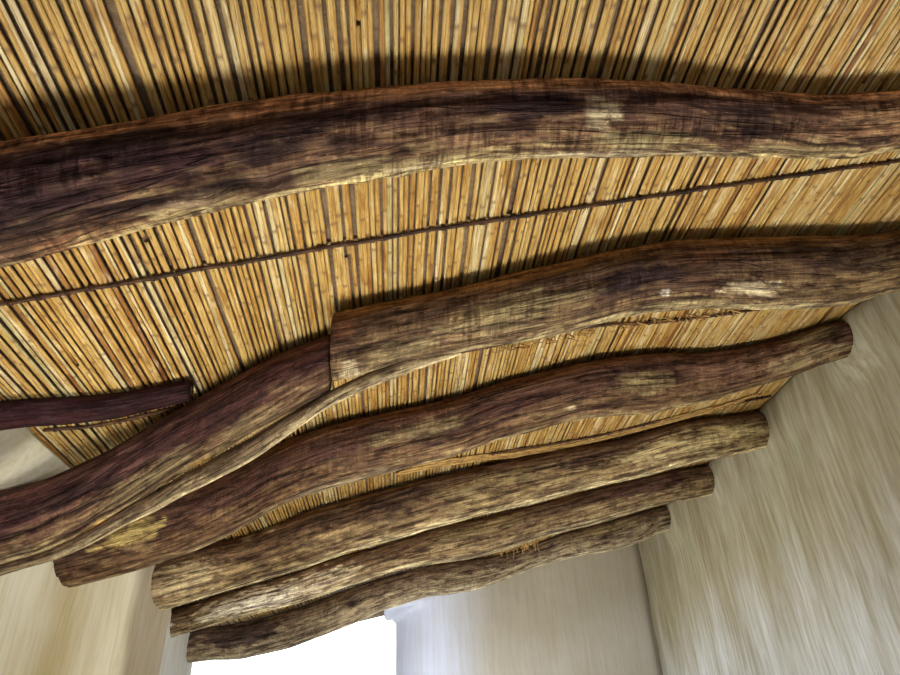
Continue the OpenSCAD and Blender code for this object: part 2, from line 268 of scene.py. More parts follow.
# ---------------------------------------------------------------- material helpers
class Mat:
    def __init__(self, name):
        self.mat = bpy.data.materials.new(name)
        self.mat.use_nodes = True
        self.t = self.mat.node_tree
        self.t.nodes.clear()
        out = self.t.nodes.new("ShaderNodeOutputMaterial")
        self.b = self.t.nodes.new("ShaderNodeBsdfPrincipled")
        self.t.links.new(self.b.outputs[0], out.inputs[0])

    def link(self, a, b):
        self.t.links.new(a, b)

    def attr(self, name, out="Fac"):
        n = self.t.nodes.new("ShaderNodeAttribute")
        n.attribute_name = name
        return n.outputs[out]

    def position(self):
        return self.t.nodes.new("ShaderNodeTexCoord").outputs["Object"]

    def stretch(self, vec, scale, loc=(0, 0, 0)):
        n = self.t.nodes.new("ShaderNodeMapping")
        n.inputs["Scale"].default_value = scale
        n.inputs["Location"].default_value = loc
        self.link(vec, n.inputs["Vector"])
        return n.outputs[0]

    def noise(self, vec, scale=1.0, detail=3.0, rough=0.5, dist=0.0):
        n = self.t.nodes.new("ShaderNodeTexNoise")
        n.inputs["Scale"].default_value = scale
        n.inputs["Detail"].default_value = detail
        n.inputs["Roughness"].default_value = rough
        n.inputs["Distortion"].default_value = dist
        self.link(vec, n.inputs["Vector"])
        return n.outputs["Fac"]

    def voronoi(self, vec, scale=1.0, feature="F1"):
        n = self.t.nodes.new("ShaderNodeTexVoronoi")
        n.feature = feature
        n.inputs["Scale"].default_value = scale
        self.link(vec, n.inputs["Vector"])
        return n.outputs["Distance"]

    def ramp(self, fac, stops, mode="LINEAR"):
        n = self.t.nodes.new("ShaderNodeValToRGB")
        n.color_ramp.interpolation = mode
        e = n.color_ramp.elements
        while len(e) < len(stops):
            e.new(0.5)
        for el, (pos, col) in zip(e, stops):
            el.position = pos
            el.color = (*col, 1) if not isinstance(col, (int, float)) else (col, col, col, 1)
        self.link(fac, n.inputs[0])
        return n.outputs[0]

    def mix(self, fac, a, b, mode="MIX"):
        n = self.t.nodes.new("ShaderNodeMix")
        n.data_type = "RGBA"
        n.blend_type = mode
        for i, v in ((0, fac), (6, a), (7, b)):
            sock = n.inputs[i]
            if isinstance(v, (int, float)):
                sock.default_value = v if i == 0 else (v, v, v, 1)
            elif isinstance(v, tuple):
                sock.default_value = (*v, 1)
            else:
                self.link(v, sock)
        return n.outputs[2]

    def math(self, op, a, b=None, clamp=False):
        n = self.t.nodes.new("ShaderNodeMath")
        n.operation = op
        n.use_clamp = clamp
        for sock, v in ((n.inputs[0], a), (n.inputs[1], b)):
            if v is None:
                continue
            if isinstance(v, (int, float)):
                sock.default_value = v
            else:
                self.link(v, sock)
        return n.outputs[0]

    def bump(self, height, strength, distance, normal=None):
        n = self.t.nodes.new("ShaderNodeBump")
        n.inputs["Strength"].default_value = strength
        n.inputs["Distance"].default_value = distance
        self.link(height, n.inputs["Height"])
        if normal is not None:
            self.link(normal, n.inputs["Normal"])
        return n.outputs[0]

    def finish(self, colour, rough, normal=None, spec=0.3):
        self.link(colour, self.b.inputs["Base Color"])
        if isinstance(rough, (int, float)):
            self.b.inputs["Roughness"].default_value = rough
        else:
            self.link(rough, self.b.inputs["Roughness"])
        self.b.inputs["Specular IOR Level"].default_value = spec
        if normal is not None:
            self.link(normal, self.b.inputs["Normal"])
        return self.mat


def cane_material():
    m = Mat("cane")
    tint, ring, dust_and_groove_shade = m.attr("tint"), m.attr("ring"), m.attr("dust_and_groove_shade")
    pos = m.position()
    fibre = m.noise(m.stretch(pos, (460, 9, 460)), 1, 2, 0.6)
    blotch = m.noise(m.stretch(pos, (60, 12, 60)), 1, 3, 0.6)
    speck = m.noise(m.stretch(pos, (220, 60, 220)), 1, 2, 0.65)
    base = m.ramp(tint, [(0.0, (0.30, 0.135, 0.045)), (0.14, (0.50, 0.275, 0.070)), (0.32, (0.64, 0.405, 0.115)),
                         (0.55, (0.70, 0.495, 0.165)), (0.74, (0.72, 0.54, 0.22)), (0.87, (0.88, 0.77, 0.46)),
                         (1.0, (0.58, 0.52, 0.24))])
    c = m.mix(m.ramp(fibre, [(0.34, 0.0), (0.66, 1.0)]), m.mix(1.0, base, (0.55, 0.44, 0.30), "MULTIPLY"), base)
    c = m.mix(m.ramp(blotch, [(0.50, 0.0), (0.70, 0.8)]), c, m.mix(1.0, c, (0.55, 0.38, 0.24), "MULTIPLY"))
    c = m.mix(m.ramp(blotch, [(0.26, 0.6), (0.42, 0.0)]), c, m.mix(0.6, c, (1.0, 0.92, 0.66)))
    c = m.mix(m.ramp(speck, [(0.62, 0.0), (0.74, 0.7)]), c, (0.12, 0.06, 0.03))
    c = m.mix(m.math("MULTIPLY", ring, 0.75), c, (0.18, 0.085, 0.035))
    # painted shade: the grooves between the canes darken to a dark purple
    c = m.mix(m.ramp(m.math("ADD", dust_and_groove_shade, m.math("MULTIPLY", m.math("SUBTRACT", blotch, 0.5), 0.5)),
                     [(0.32, 0.0), (0.56, 0.80), (0.76, 0.95)]), c, (0.058, 0.021, 0.024))
    rough = m.ramp(fibre, [(0.2, 0.58), (0.8, 0.40)])
    h = m.math("ADD", m.math("MULTIPLY", fibre, 0.5), m.math("MULTIPLY", speck, -0.35))
    return m.finish(c, rough, m.bump(h, 0.5, 0.0012), 0.35)


def log_material():
    m = Mat("old_log")
    tone = m.attr("tone", "Color")
    flow = m.attr("flow", "Vector")
    grain = m.noise(m.stretch(flow, (3.4, 62, 62)), 1, 4, 0.68, 0.3)
    fine = m.noise(m.stretch(flow, (12, 230, 230)), 1, 3, 0.65)
    blotch = m.noise(m.stretch(flow, (13, 34, 34), (3.1, 1.7, 0.4)), 1, 5, 0.76, 0.3)
    pores = m.noise(m.stretch(flow, (90, 150, 150)), 1, 2, 0.75)
    across = m.noise(m.stretch(flow, (72, 10, 10), (1.0, 6.0, 2.0)), 1, 3, 0.62, 0.5)
    split = m.math("ABSOLUTE", m.math("SUBTRACT", m.noise(m.stretch(flow, (1.1, 42, 42), (5, 2, 9)), 1, 1, 0.4), 0.5))
    crack = m.ramp(split, [(0.0, 1.0), (0.014, 0.0)])
    c = m.mix(m.ramp(grain, [(0.36, 0.0), (0.64, 1.0)]), m.mix(1.0, tone, (0.36, 0.29, 0.28), "MULTIPLY"),
              m.mix(1.0, tone, (1.62, 1.58, 1.42), "MULTIPLY"))
    c = m.mix(m.ramp(blotch, [(0.40, 0.75), (0.48, 0.0)]), c, m.mix(1.0, c, (0.30, 0.24, 0.26), "MULTIPLY"))
    c = m.mix(m.ramp(blotch, [(0.56, 0.0), (0.66, 0.50)]), c, m.mix(1.0, tone, (1.9, 1.95, 1.8), "MULTIPLY"))
    # marks of the adze run round the log
    adze = m.attr("adze")
    c = m.mix(m.math("MULTIPLY", m.ramp(across, [(0.40, 0.95), (0.50, 0.0)]), adze), c,
              m.mix(1.0, c, (0.36, 0.29, 0.30), "MULTIPLY"))
    c = m.mix(m.math("MULTIPLY", m.ramp(across, [(0.54, 0.0), (0.68, 0.75)]), adze), c,
              m.mix(1.0, c, (1.8, 1.75, 1.6), "MULTIPLY"))
    c = m.mix(m.ramp(fine, [(0.38, 0.70), (0.52, 0.0)]), c, m.mix(1.0, c, (0.38, 0.30, 0.28), "MULTIPLY"))
    c = m.mix(m.ramp(pores, [(0.60, 0.0), (0.70, 0.75)]), c, m.mix(1.0, c, (2.2, 2.1, 1.85), "MULTIPLY"))
    # painted shade: the cracks are drawn near black, as the shade inside them
    c = m.mix(m.math("MULTIPLY", crack, 0.65), c, (0.012, 0.008, 0.008))
    h = m.math("ADD", m.math("MULTIPLY", grain, 1.1), m.math("MULTIPLY", fine, 0.5))
    h = m.math("ADD", h, m.math("MULTIPLY", blotch, 1.0))
    h = m.math("SUBTRACT", h, m.math("MULTIPLY", crack, 0.6))
    return m.finish(c, 0.78, m.bump(h, 1.0, 0.006), 0.10)


def runner_material():
    m = Mat("runner_cane")
    tint = m.attr("tint")
    pos = m.position()
    fibre = m.noise(m.stretch(pos, (30, 420, 420)), 1, 3, 0.6)
    patch = m.noise(m.stretch(pos, (26, 60, 60)), 1, 3, 0.6)
    base = m.ramp(tint, [(0.0, (0.035, 0.020, 0.016)), (0.5, (0.14, 0.066, 0.030)), (0.8, (0.42, 0.21, 0.065)),
                         (1.0, (0.74, 0.50, 0.17))])
    c = m.mix(m.ramp(fibre, [(0.3, 0.0), (0.7, 1.0)]), m.mix(1.0, base, (0.5, 0.42, 0.36), "MULTIPLY"), base)
    c = m.mix(m.ramp(patch, [(0.45, 0.0), (0.65, 0.7)]), c, m.mix(1.0, c, (0.35, 0.28, 0.26), "MULTIPLY"))
    return m.finish(c, 0.62, m.bump(fibre, 0.5, 0.001), 0.3)


def wall_material(name, wash, streak_dark, streak_pale, amount):
    m = Mat(name)
    tone = m.attr("tone", "Color")
    pos = m.position()
    brush = m.noise(m.stretch(pos, (48, 48, 3.6)), 1, 4, 0.60, 0.3)
    broad = m.noise(m.stretch(pos, (14, 14, 1.2), (2, 7, 1)), 1, 3, 0.55, 0.3)
    fine = m.noise(m.stretch(pos, (200, 200, 14)), 1, 3, 0.6)
    cloud = m.noise(pos, 2.6, 4, 0.55)
    grit = m.noise(pos, 150, 3, 0.6)
    c = m.mix(1.0, tone, wash, "MULTIPLY")
    c = m.mix(m.ramp(brush, [(0.36, amount), (0.54, 0.0)]), c, m.mix(1.0, c, streak_dark, "MULTIPLY"))
    c = m.mix(m.ramp(brush, [(0.54, 0.0), (0.70, amount)]), c, m.mix(1.0, c, streak_pale, "MULTIPLY"))
    c = m.mix(m.ramp(broad, [(0.38, amount * 0.7), (0.58, 0.0)]), c, m.mix(1.0, c, streak_dark, "MULTIPLY"))
    c = m.mix(m.ramp(fine, [(0.40, amount * 0.30), (0.60, 0.0)]), c, m.mix(1.0, c, streak_dark, "MULTIPLY"))
    c = m.mix(m.ramp(cloud, [(0.40, 0.35), (0.62, 0.0)]), c, m.mix(1.0, c, (0.86, 0.82, 0.74), "MULTIPLY"))
    h = m.math("ADD", m.math("MULTIPLY", brush, 1.0), m.math("MULTIPLY", fine, 0.35))
    h = m.math("ADD", h, m.math("MULTIPLY", broad, 1.2))
    h = m.math("ADD", h, m.math("MULTIPLY", grit, 0.25))
    return m.finish(c, 0.88, m.bump(h, 0.5, 0.004), 0.15)


def earth_material():
    m = Mat("earth")
    pos = m.position()
    n1 = m.noise(pos, 9, 5, 0.6)
    n2 = m.noise(pos, 70, 4, 0.65)
    straw = m.noise(m.stretch(pos, (60, 300, 300)), 1, 2, 0.6)
    c = m.ramp(n1, [(0.3, (0.16, 0.105, 0.062)), (0.55, (0.26, 0.18, 0.11)), (0.75, (0.34, 0.25, 0.16))])
    c = m.mix(m.ramp(n2, [(0.35, 0.6), (0.6, 0.0)]), c, m.mix(1.0, c, (0.5, 0.46, 0.42), "MULTIPLY"))
    c = m.mix(m.ramp(straw, [(0.68, 0.0), (0.74, 0.7)]), c, (0.50, 0.38, 0.19))
    h = m.math("ADD", n1, m.math("MULTIPLY", n2, 0.7))
    return m.finish(c, 0.95, m.bump(h, 0.9, 0.008), 0.1)


def tile_material():
    m = Mat("clay_tile")
    tint = m.attr("tint")
    pos = m.position()
    n1 = m.noise(pos, 14, 5, 0.6)
    n2 = m.noise(pos, 90, 4, 0.65)
    lichen = m.noise(pos, 33, 5, 0.7, 0.5)
    c = m.ramp(tint, [(0.0, (0.30, 0.115, 0.060)), (0.35, (0.42, 0.175, 0.085)), (0.7, (0.50, 0.255, 0.135)),
                      (1.0, (0.40, 0.27, 0.17))])
    c = m.mix(m.ramp(n1, [(0.38, 0.6), (0.62, 0.0)]), c, m.mix(1.0, c, (0.55, 0.50, 0.46), "MULTIPLY"))
    c = m.mix(m.ramp(n2, [(0.55, 0.0), (0.75, 0.4)]), c, (0.52, 0.36, 0.25))
    c = m.mix(m.ramp(lichen, [(0.60, 0.0), (0.68, 0.75)]), c, (0.34, 0.34, 0.25))
    c = m.mix(m.ramp(lichen, [(0.28, 0.55), (0.36, 0.0)]), c, (0.07, 0.06, 0.05))
    h = m.math("ADD", m.math("MULTIPLY", n1, 0.6), n2)
    return m.finish(c, 0.85, m.bump(h, 0.6, 0.003), 0.2)


CANE, LOG, RUNNER, EARTH, TILE = cane_material(), log_material(), runner_material(), earth_material(), tile_material()
WALL_LOW = wall_material("limewash_low", (1.0, 1.0, 1.0), (0.84, 0.80, 0.66), (1.08, 1.08, 1.07), 0.55)
WALL_HIGH = wall_material("limewash_high", (1.0, 1.0, 1.0), (0.74, 0.70, 0.60), (1.20, 1.22, 1.26), 0.80)
WALL_BACK = wall_material("limewash_back", (1.0, 1.0, 1.0), (0.88, 0.86, 0.80), (1.08, 1.09, 1.11), 0.45)


def place(ob, material, slot, *nodes):
    ob.data.materials.clear()
    ob.data.materials.append(material)
    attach(ob, "root")
    if nodes:
        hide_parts(*nodes)
    return ob


# ---------------------------------------------------------------- camera
cam_data = bpy.data.cameras.new("camera")
cam = bpy.data.objects.new("camera", cam_data)
scene.collection.objects.link(cam)
cam_data.sensor_width = 36.0
cam_data.lens = 683.0 / 900.0 * 36.0
cam_data.clip_start = 0.01
right = (0.9969427, -0.06698914, -0.04022075)
down = (0.00334545, 0.5508756, -0.83458066)
fwd = (0.07806447, 0.83189454, 0.54941551)
cam.matrix_world = Matrix(((right[0], -down[0], -fwd[0], -0.300),
                           (right[1], -down[1], -fwd[1], -2.700),
                           (right[2], -down[2], -fwd[2], 0.150),
                           (0, 0, 0, 1)))
scene.camera = cam

# ---------------------------------------------------------------- canes
rng = np.random.default_rng(41)


def one_cane(x, y0, y1, r, tint, lift, gen, sides=6):
    """A cane from y0 to y1: co, quads, tris, attrs."""
    ys, rad, ring = [], [], []
    y = y0
    nxt = y0 + gen.uniform(0.05, 0.3)
    ys.append(y0)
    rad.append(r)
    ring.append(0.0)
    while nxt < y1 - 0.03:
        for dy, k, g in ((-0.009, 1.0, 0.0), (0.0, 1.15, 1.0), (0.010, 0.98, 0.0)):
            ys.append(nxt + dy)
            rad.append(r * k)
            ring.append(g)
        nxt += gen.uniform(0.18, 0.34)
    if ys[-1] > y1 - 0.02:
        ys.pop(), rad.pop(), ring.pop()
    ys.append(y1)
    rad.append(r)
    ring.append(0.0)
    ys, rad, ring = np.array(ys), np.array(rad), np.array(ring)
    taper = 1 - 0.10 * (ys - y0) / 5.4 * gen.choice([-1, 1])
    rad = rad * taper
    ph = gen.uniform(0, 100)
    wob = fbm(np.stack([ys * 1.1 + ph, np.full(len(ys), ph), np.zeros(len(ys))], 1), 5, 2)
    fine = fbm(np.stack([ys * 4.0 + ph, np.full(len(ys), ph), np.ones(len(ys))], 1), 6, 2)
    xs = x + wob * 0.0050 + fine * 0.0014 + (ys * gen.normal(0, 0.0012))
    up = fbm(np.stack([ys * 1.6 + ph, np.full(len(ys), ph), np.full(len(ys), 3.0)], 1), 7, 2)
    zs = soffit(xs) + (rad + 0.0006 + lift + np.maximum(up, -0.2) * 0.0016) / LEAN
    ns = sides
    ang = np.pi / ns + 2 * np.pi * np.arange(ns) / ns
    n = len(ys)
    co = np.zeros((n, ns, 3))
    co[:, :, 0] = xs[:, None] + rad[:, None] * np.cos(ang)
    co[:, :, 1] = ys[:, None]
    co[:, :, 2] = zs[:, None] + rad[:, None] * np.sin(ang)
    co = co.reshape(-1, 3)
    ends = np.array([[xs[0], ys[0], zs[0]], [xs[-1], ys[-1], zs[-1]]])
    co = np.concatenate([co, ends])
    quads = tube_faces(n, ns, flip=True)
    tris = np.concatenate([cap_faces(0, ns, n * ns, True), cap_faces((n - 1) * ns, ns, n * ns + 1, False)])
    seg = np.cumsum(ring > 0.95)
    seg_tint = np.clip(tint + gen.normal(0, 0.05, seg.max() + 1)[seg], 0, 1)
    # painted shade, with some dust: each cane is darkened towards the deck, so the grooves between the canes read dark
    groove = np.clip(0.5 + 0.5 * np.sin(ang), 0, 1) ** 0.75
    side = gen.uniform(0.85, 1.0, ns)
    a = {"tint": np.concatenate([np.repeat(seg_tint, ns), [tint, tint]]),
         "ring": np.concatenate([np.repeat(ring, ns), [0.4, 0.4]]),
         "dust_and_groove_shade": np.concatenate([np.tile(groove * side, n), [0.5, 0.5]])}
    return co, quads, tris, a


def cane_mats():
    x = -2.076
    canes = []
    while x < 2.072:
        r = float(np.clip(rng.normal(0.0057, 0.0008), 0.0042, 0.0076))
        x += r
        canes.append([x, r])
        x += r + max(0.0, rng.normal(0.0009, 0.0009)) + (rng.uniform(0.003, 0.007) if rng.random() < 0.03 else 0.0)
    groups = {i: [] for i in range(5)}
    for x, r in canes:
        u = rng.random()
        if u < 0.14:
            tint = rng.uniform(0.80, 0.90)
        elif u < 0.20:
            tint = rng.uniform(0.08, 0.22)
        elif u < 0.23:
            tint = rng.uniform(0.95, 1.0)
        else:
            tint = rng.uniform(0.28, 0.72)
        lift = max(0.0, rng.normal(0, 0.0009)) + (rng.uniform(0.001, 0.003) if rng.random() < 0.12 else 0.0)
        g = min(4, max(0, int((x + 2.080) // 0.832)))
        y0 = -2.690 + rng.uniform(0, 0.03)
        y1 = 2.690 - rng.uniform(0, 0.03)
        if rng.random() < 0.30:
            cut = rng.uniform(-2.2, 2.2)
            gap = rng.uniform(0.004, 0.02)
            groups[g].append(one_cane(x, y0, cut, r, tint, lift, rng))
            r2 = float(np.clip(r + rng.normal(0, 0.0007), 0.0048, 0.0084))
            groups[g].append(one_cane(x + rng.normal(0, 0.001), cut + gap, y1, r2,
                                      float(np.clip(tint + rng.normal(0, 0.2), 0, 1)), lift, rng))
        else:
            groups[g].append(one_cane(x, y0, y1, r, tint, lift, rng))
    for g, parts in groups.items():
        co, q, t, a = join_parts(parts)
        name = "cane_mat_%d" % (g + 1)
        place(build(name + "_canes", co, q, t, a), CANE, "cane", name)


cane_mats()


# ---------------------------------------------------------------- runners and their ties
RUNNERS = {
    "runner_1": [[(-1.320, -2.200), (0, -2.215), (1.450, -2.205)]],
    "runner_2": [[(-1.320, -1.400), (-.600, -1.440), (-.200, -1.460), (.600, -1.475), (1.450, -1.485)]],
    "runner_3": [[(-1.320, -.825), (-1.180, -.800), (-.960, -.820)],
                 [(-.690, -.840), (0, -.868), (.370, -.880), (.580, -.840), (.910, -.812), (1.450, -.805)]],
    "runner_4": [[(-.300, .020), (.150, .035), (.620, .070), (.900, .045), (1.450, .010)]],
    "runner_5": [[(-1.320, .650), (0, .520), (1.450, .530)]],
    "runner_6": [[(-1.400, 1.560), (0, 1.340), (1.450, 1.210)]],
    "runner_7": [[(-.600, 2.100), (.400, 2.080), (1.450, 2.070)]],
}


def tube(path, radius, ns=7, tint=0.4, cap=True):
    """A tube along the points of path; radius may be an array."""
    path = np.asarray(path, float)
    n = len(path)
    rad = np.full(n, radius) if np.isscalar(radius) else np.asarray(radius)
    d = np.gradient(path, axis=0)
    d /= np.linalg.norm(d, axis=1)[:, None] + 1e-12
    ref = np.tile(np.array([0.0, 0.0, 1.0]), (n, 1))
    near = np.abs(d[:, 2]) > 0.9
    ref[near] = (0.0, 1.0, 0.0)
    u = np.cross(ref, d)
    u /= np.linalg.norm(u, axis=1)[:, None] + 1e-12
    for i in range(1, n):
        w = u[i - 1] - d[i] * (u[i - 1] @ d[i])
        lw = np.linalg.norm(w)
        if lw > 1e-6:
            u[i] = w / lw
    v = np.cross(d, u)
    ang = 2 * np.pi * np.arange(ns) / ns
    co = (path[:, None, :] + rad[:, None, None] * (np.cos(ang)[None, :, None] * u[:, None, :]
                                                   + np.sin(ang)[None, :, None] * v[:, None, :])).reshape(-1, 3)
    quads = tube_faces(n, ns, flip=True)
    co = np.concatenate([co, path[:1], path[-1:]])
    tris = np.concatenate([cap_faces(0, ns, n * ns, True), cap_faces((n - 1) * ns, ns, n * ns + 1, False)])
    t = np.full(len(co), tint) if np.isscalar(tint) else np.concatenate([np.repeat(tint, ns), [tint[0], tint[-1]]])
    return co, quads, tris, {"tint": t}


def rope_loop(cx, cy, cz, gen, turns=2):
    """A grass tie: a few turns round a runner, drawn up between the canes."""
    k = 9 * turns + 1
    a = np.linspace(0, 2 * np.pi * turns, k) + gen.uniform(0, 6)
    w = gen.uniform(0.0062, 0.0078)
    x = cx + np.linspace(-0.5, 0.5, k) * 0.0042 * turns + gen.normal(0, 0.0006, k)
    y = cy + np.cos(a) * w + gen.normal(0, 0.0004, k)
    z = cz + np.sin(a) * w * 0.98
    lid = soffit(x) + 0.006
    z = np.minimum(z, lid)
    return tube(np.stack([x, y, z], 1), 0.0015, 4, gen.uniform(0.05, 0.55))


def runner_piece(name, spans, seed):
    gen = np.random.default_rng(seed)
    parts = []
    for span in spans:
        p = np.array(span)
        length = p[-1, 0] - p[0, 0]
        n = max(12, int(length / 0.016))
        x = np.linspace(p[0, 0], p[-1, 0], n)
        y = smooth_rows([(a, b, 0) for a, b in span], x, 1)
        ph = np.full(n, seed * 7.7)
        y = y + fbm(np.stack([x * 9, ph, ph], 1), seed, 3) * 0.0045
        rad = 0.0050 + 0.0009 * fbm(np.stack([x * 14, ph, ph + 4], 1), seed + 2, 3)
        z = soffit(x) - 0.0056 + fbm(np.stack([x * 8, ph, ph + 9], 1), seed + 1, 2) * 0.0012
        shade = 0.20 if name == "runner_2" else 0.36
        tint = np.clip(shade + 0.5 * fbm(np.stack([x * 20, ph, ph + 2], 1), seed + 3, 2), 0, 1)
        parts.append(tube(np.stack([x, y, z], 1), rad, 7, tint))
        # a second, thinner stem laid along the first
        y2 = y + 0.0042 + 0.002 * fbm(np.stack([x * 6, ph, ph + 1], 1), seed + 5, 2)
        z2 = z + 0.0012 + 0.0018 * fbm(np.stack([x * 7, ph, ph + 3], 1), seed + 6, 2)
        parts.append(tube(np.stack([x, y2, np.minimum(z2, soffit(x) - 0.0032)], 1), 0.0026, 5,
                          np.clip(tint - 0.25, 0, 1)))
        xt = p[0, 0] + 0.03
        while xt < p[-1, 0] - 0.02:
            yt = np.interp(xt, x, y)
            zt = soffit(xt) - 0.0052
            parts.append(rope_loop(xt, yt, zt, gen, int(gen.integers(1, 4))))
            if gen.random() < 0.35:
                # a loose end of the tie
                m = 6
                tt = np.linspace(0, 1, m)
                dx, dy = gen.normal(0, 0.012), gen.normal(0, 0.010)
                end = np.stack([xt + dx * tt, yt + dy * tt + 0.004 * np.sin(3 * tt),
                                zt - 0.004 - gen.uniform(0.002, 0.014) * tt ** 1.4], 1)
                parts.append(tube(end, np.linspace(0.0013, 0.0007, m), 4, gen.uniform(0.3, 0.9)))
            xt += gen.uniform(0.026, 0.062)
    if name == "runner_4":
        # a bundle of smooth stems laid beside it above the fourth log
        lay = [(-.370, .050, 0), (-.230, .018, 0), (-.090, .024, 0), (.060, .042, 0), (.220, .086, 0), (.570, .098, 0),
               (.820, .076, 0), (1.100, .032, 0), (1.400, -.060, 0)]
        for j in range(6):
            x = np.linspace(gen.uniform(-.37, -.22), gen.uniform(1.10, 1.42), 90)
            ph = np.full(90, 31.0 * j)
            y = smooth_rows(lay, x, 1) + (j - 2.5) * 0.0080 + 0.006 * fbm(np.stack([x * 4, ph, ph], 1), 400 + j, 2)
            z = soffit(x) - 0.0058 - 0.0035 * (j % 2) - 0.002 * np.abs(fbm(np.stack([x * 6, ph, ph + 3], 1), 410 + j, 2))
            parts.append(tube(np.stack([x, y, z], 1), np.linspace(0.0048, 0.0036, 90), 6, gen.uniform(0.82, 1.0)))
    if name == "runner_3":
        # short broken stems caught along it below the second log
        for j in range(76):
            x0 = gen.uniform(.02, .98)
            y0 = -.868 + gen.normal(0.016, 0.012) + 0.05 * max(0.0, x0 - .55)
            a, reach = gen.normal(0.35, 0.75), gen.uniform(0.012, 0.048)
            tt = np.linspace(-0.5, 0.5, 3)
            z0 = soffit(x0) - gen.uniform(0.004, 0.013)
            path = np.stack([x0 + reach * math.cos(a) * tt, y0 + reach * math.sin(a) * tt,
                             z0 - 0.25 * reach * (tt + 0.5)], 1)
            path[:, 2] = np.minimum(path[:, 2], soffit(path[:, 0]) - 0.003)
            parts.append(tube(path, gen.uniform(0.0012, 0.0026), 5, gen.uniform(0.62, 1.0)))
    if name == "runner_6":
        # broken straw that hangs from the canes before the last log
        for j in range(46):
            x0, y0, drop = gen.uniform(.31, .60), gen.uniform(1.46, 1.60), gen.uniform(0.040, 0.098)
            tt = np.linspace(0, 1, 4)
            path = np.stack([x0 + gen.normal(0, 0.010) * tt, y0 + gen.normal(0, 0.014) * tt,
                             soffit(x0) - 0.0005 - drop * tt], 1)
            parts.append(tube(path, np.linspace(0.0024, 0.0014, 4), 5, gen.uniform(0.78, 1.0)))
    co, q, t, a = join_parts(parts)
    place(build(name + "_tied", co, q, t, a), RUNNER, "runner_cane", name)


for i, (rn, spans) in enumerate(RUNNERS.items()):
    runner_piece(rn, spans, 100 + i)


# ---------------------------------------------------------------- logs
BARK = np.array((0.175, 0.118, 0.078))
RUST = np.array((0.230, 0.110, 0.055))
GREY = np.array((0.270, 0.225, 0.150))
OLIVE = np.array((0.310, 0.262, 0.140))
PALE = np.array((0.600, 0.530, 0.360))
CHALK = np.array((0.800, 0.790, 0.700))
SOOT = np.array((0.036, 0.022, 0.024))
PLUM = np.array((0.100, 0.050, 0.045))
OCHRE = np.array((0.450, 0.290, 0.090))
GOLD = np.array((0.750, 0.500, 0.160))
BLACK = np.array((0.016, 0.010, 0.011))

# per log: the colour of the strip by the canes (on rafter_1 a painted highlight), of the smoked bark below it (also
# painted shade), of the middle and of the worn underside (also painted as lit from below), how much is worn and lit,
# how much is sooty and shaded, and how far the bands are turned
LOOK = {k: tuple(np.array(v) if isinstance(v, tuple) else v for v in row) for k, row in {
    "rafter_near": ((0.20, 0.10, 0.06), (0.090, 0.046, 0.036), (0.150, 0.095, 0.060), (0.30, 0.24, 0.14), 0.5, 0.5, 0),
    "rafter_1": ((0.600, 0.330, 0.190), (0.110, 0.058, 0.046), (0.200, 0.120, 0.074), (0.60, 0.50, 0.255), 0.75, 0.66, -6),
    # rafter_short: painted shadow, near black all round, as if in the shade of the lower trunk
    "rafter_short": ((0.034, 0.011, 0.014), (0.025, 0.009, 0.012), (0.038, 0.014, 0.016), (0.05, 0.025, 0.020), 0.3, 0.8, 0),
    "rafter_2_upper": ((0.290, 0.165, 0.076), (0.120, 0.072, 0.044), (0.170, 0.115, 0.062), (0.38, 0.32, 0.180), 0.75, 0.5, 0),
    "rafter_2_lower": ((0.110, 0.050, 0.044), (0.085, 0.038, 0.038), (0.135, 0.080, 0.050), (0.50, 0.40, 0.205), 0.85, 0.5, -6),
    "rafter_2_splint": ((0.160, 0.110, 0.072), (0.160, 0.110, 0.072), (0.33, 0.27, 0.165), (0.60, 0.52, 0.32), 0.8, 0.25, 18),
    "rafter_3": ((0.160, 0.082, 0.050), (0.112, 0.060, 0.043), (0.178, 0.110, 0.060), (0.44, 0.36, 0.190), 0.80, 0.5, 2),
    "rafter_4": ((0.150, 0.082, 0.048), (0.160, 0.102, 0.062), (0.290, 0.214, 0.112), (0.66, 0.57, 0.33), 0.90, 0.5, 20),
    "rafter_5": ((0.150, 0.090, 0.054), (0.160, 0.106, 0.066), (0.255, 0.190, 0.104), (0.50, 0.44, 0.27), 0.85, 0.35, 24),
    "rafter_6": ((0.130, 0.088, 0.066), (0.165, 0.120, 0.086), (0.270, 0.218, 0.140), (0.46, 0.41, 0.28), 0.8, 0.35, 30),
}.items()}
# patches of another colour: x, angle, half length, half angle, colour, strength; the angle is 0
# down the room, 180 towards its near end and 270 straight down
PATCHES = {k: [] for k in LOGS}
PATCHES["rafter_1"] = [
    (-0.98, 218, 0.50, 52, (0.058, 0.028, 0.033), 0.85), (1.05, 222, 0.44, 58, (0.48, 0.295, 0.165), 0.74),
    (-1.08, 288, 0.40, 34, (0.120, 0.070, 0.046), 0.88),
    (0.09, 221, 0.046, 31, PALE, 0.55), (0.19, 263, 0.136, 21, OLIVE, 0.8), (0.20, 296, 0.302, 15, PALE, 0.9),
    (-0.26, 286, 0.111, 20, OLIVE, 0.7), (-0.26, 290, 0.080, 8, PALE, 0.7), (-0.40, 274, 0.104, 19, OLIVE, 0.6),
    (-0.03, 211, 0.119, 23, SOOT, 0.85), (0.41, 224, 0.128, 28, SOOT, 0.7), (0.78, 261, 0.066, 16, SOOT, 0.7),
    (-0.76, 192, 0.137, 27, SOOT, 0.75), (-0.52, 230, 0.082, 18, SOOT, 0.85), (-0.90, 245, 0.087, 21, SOOT, 0.6),
    (-0.83, 291, 0.126, 16, RUST, 0.6), (-0.64, 274, 0.065, 14, GREY, 0.5), (0.60, 277, 0.170, 13, OLIVE, 0.6)]
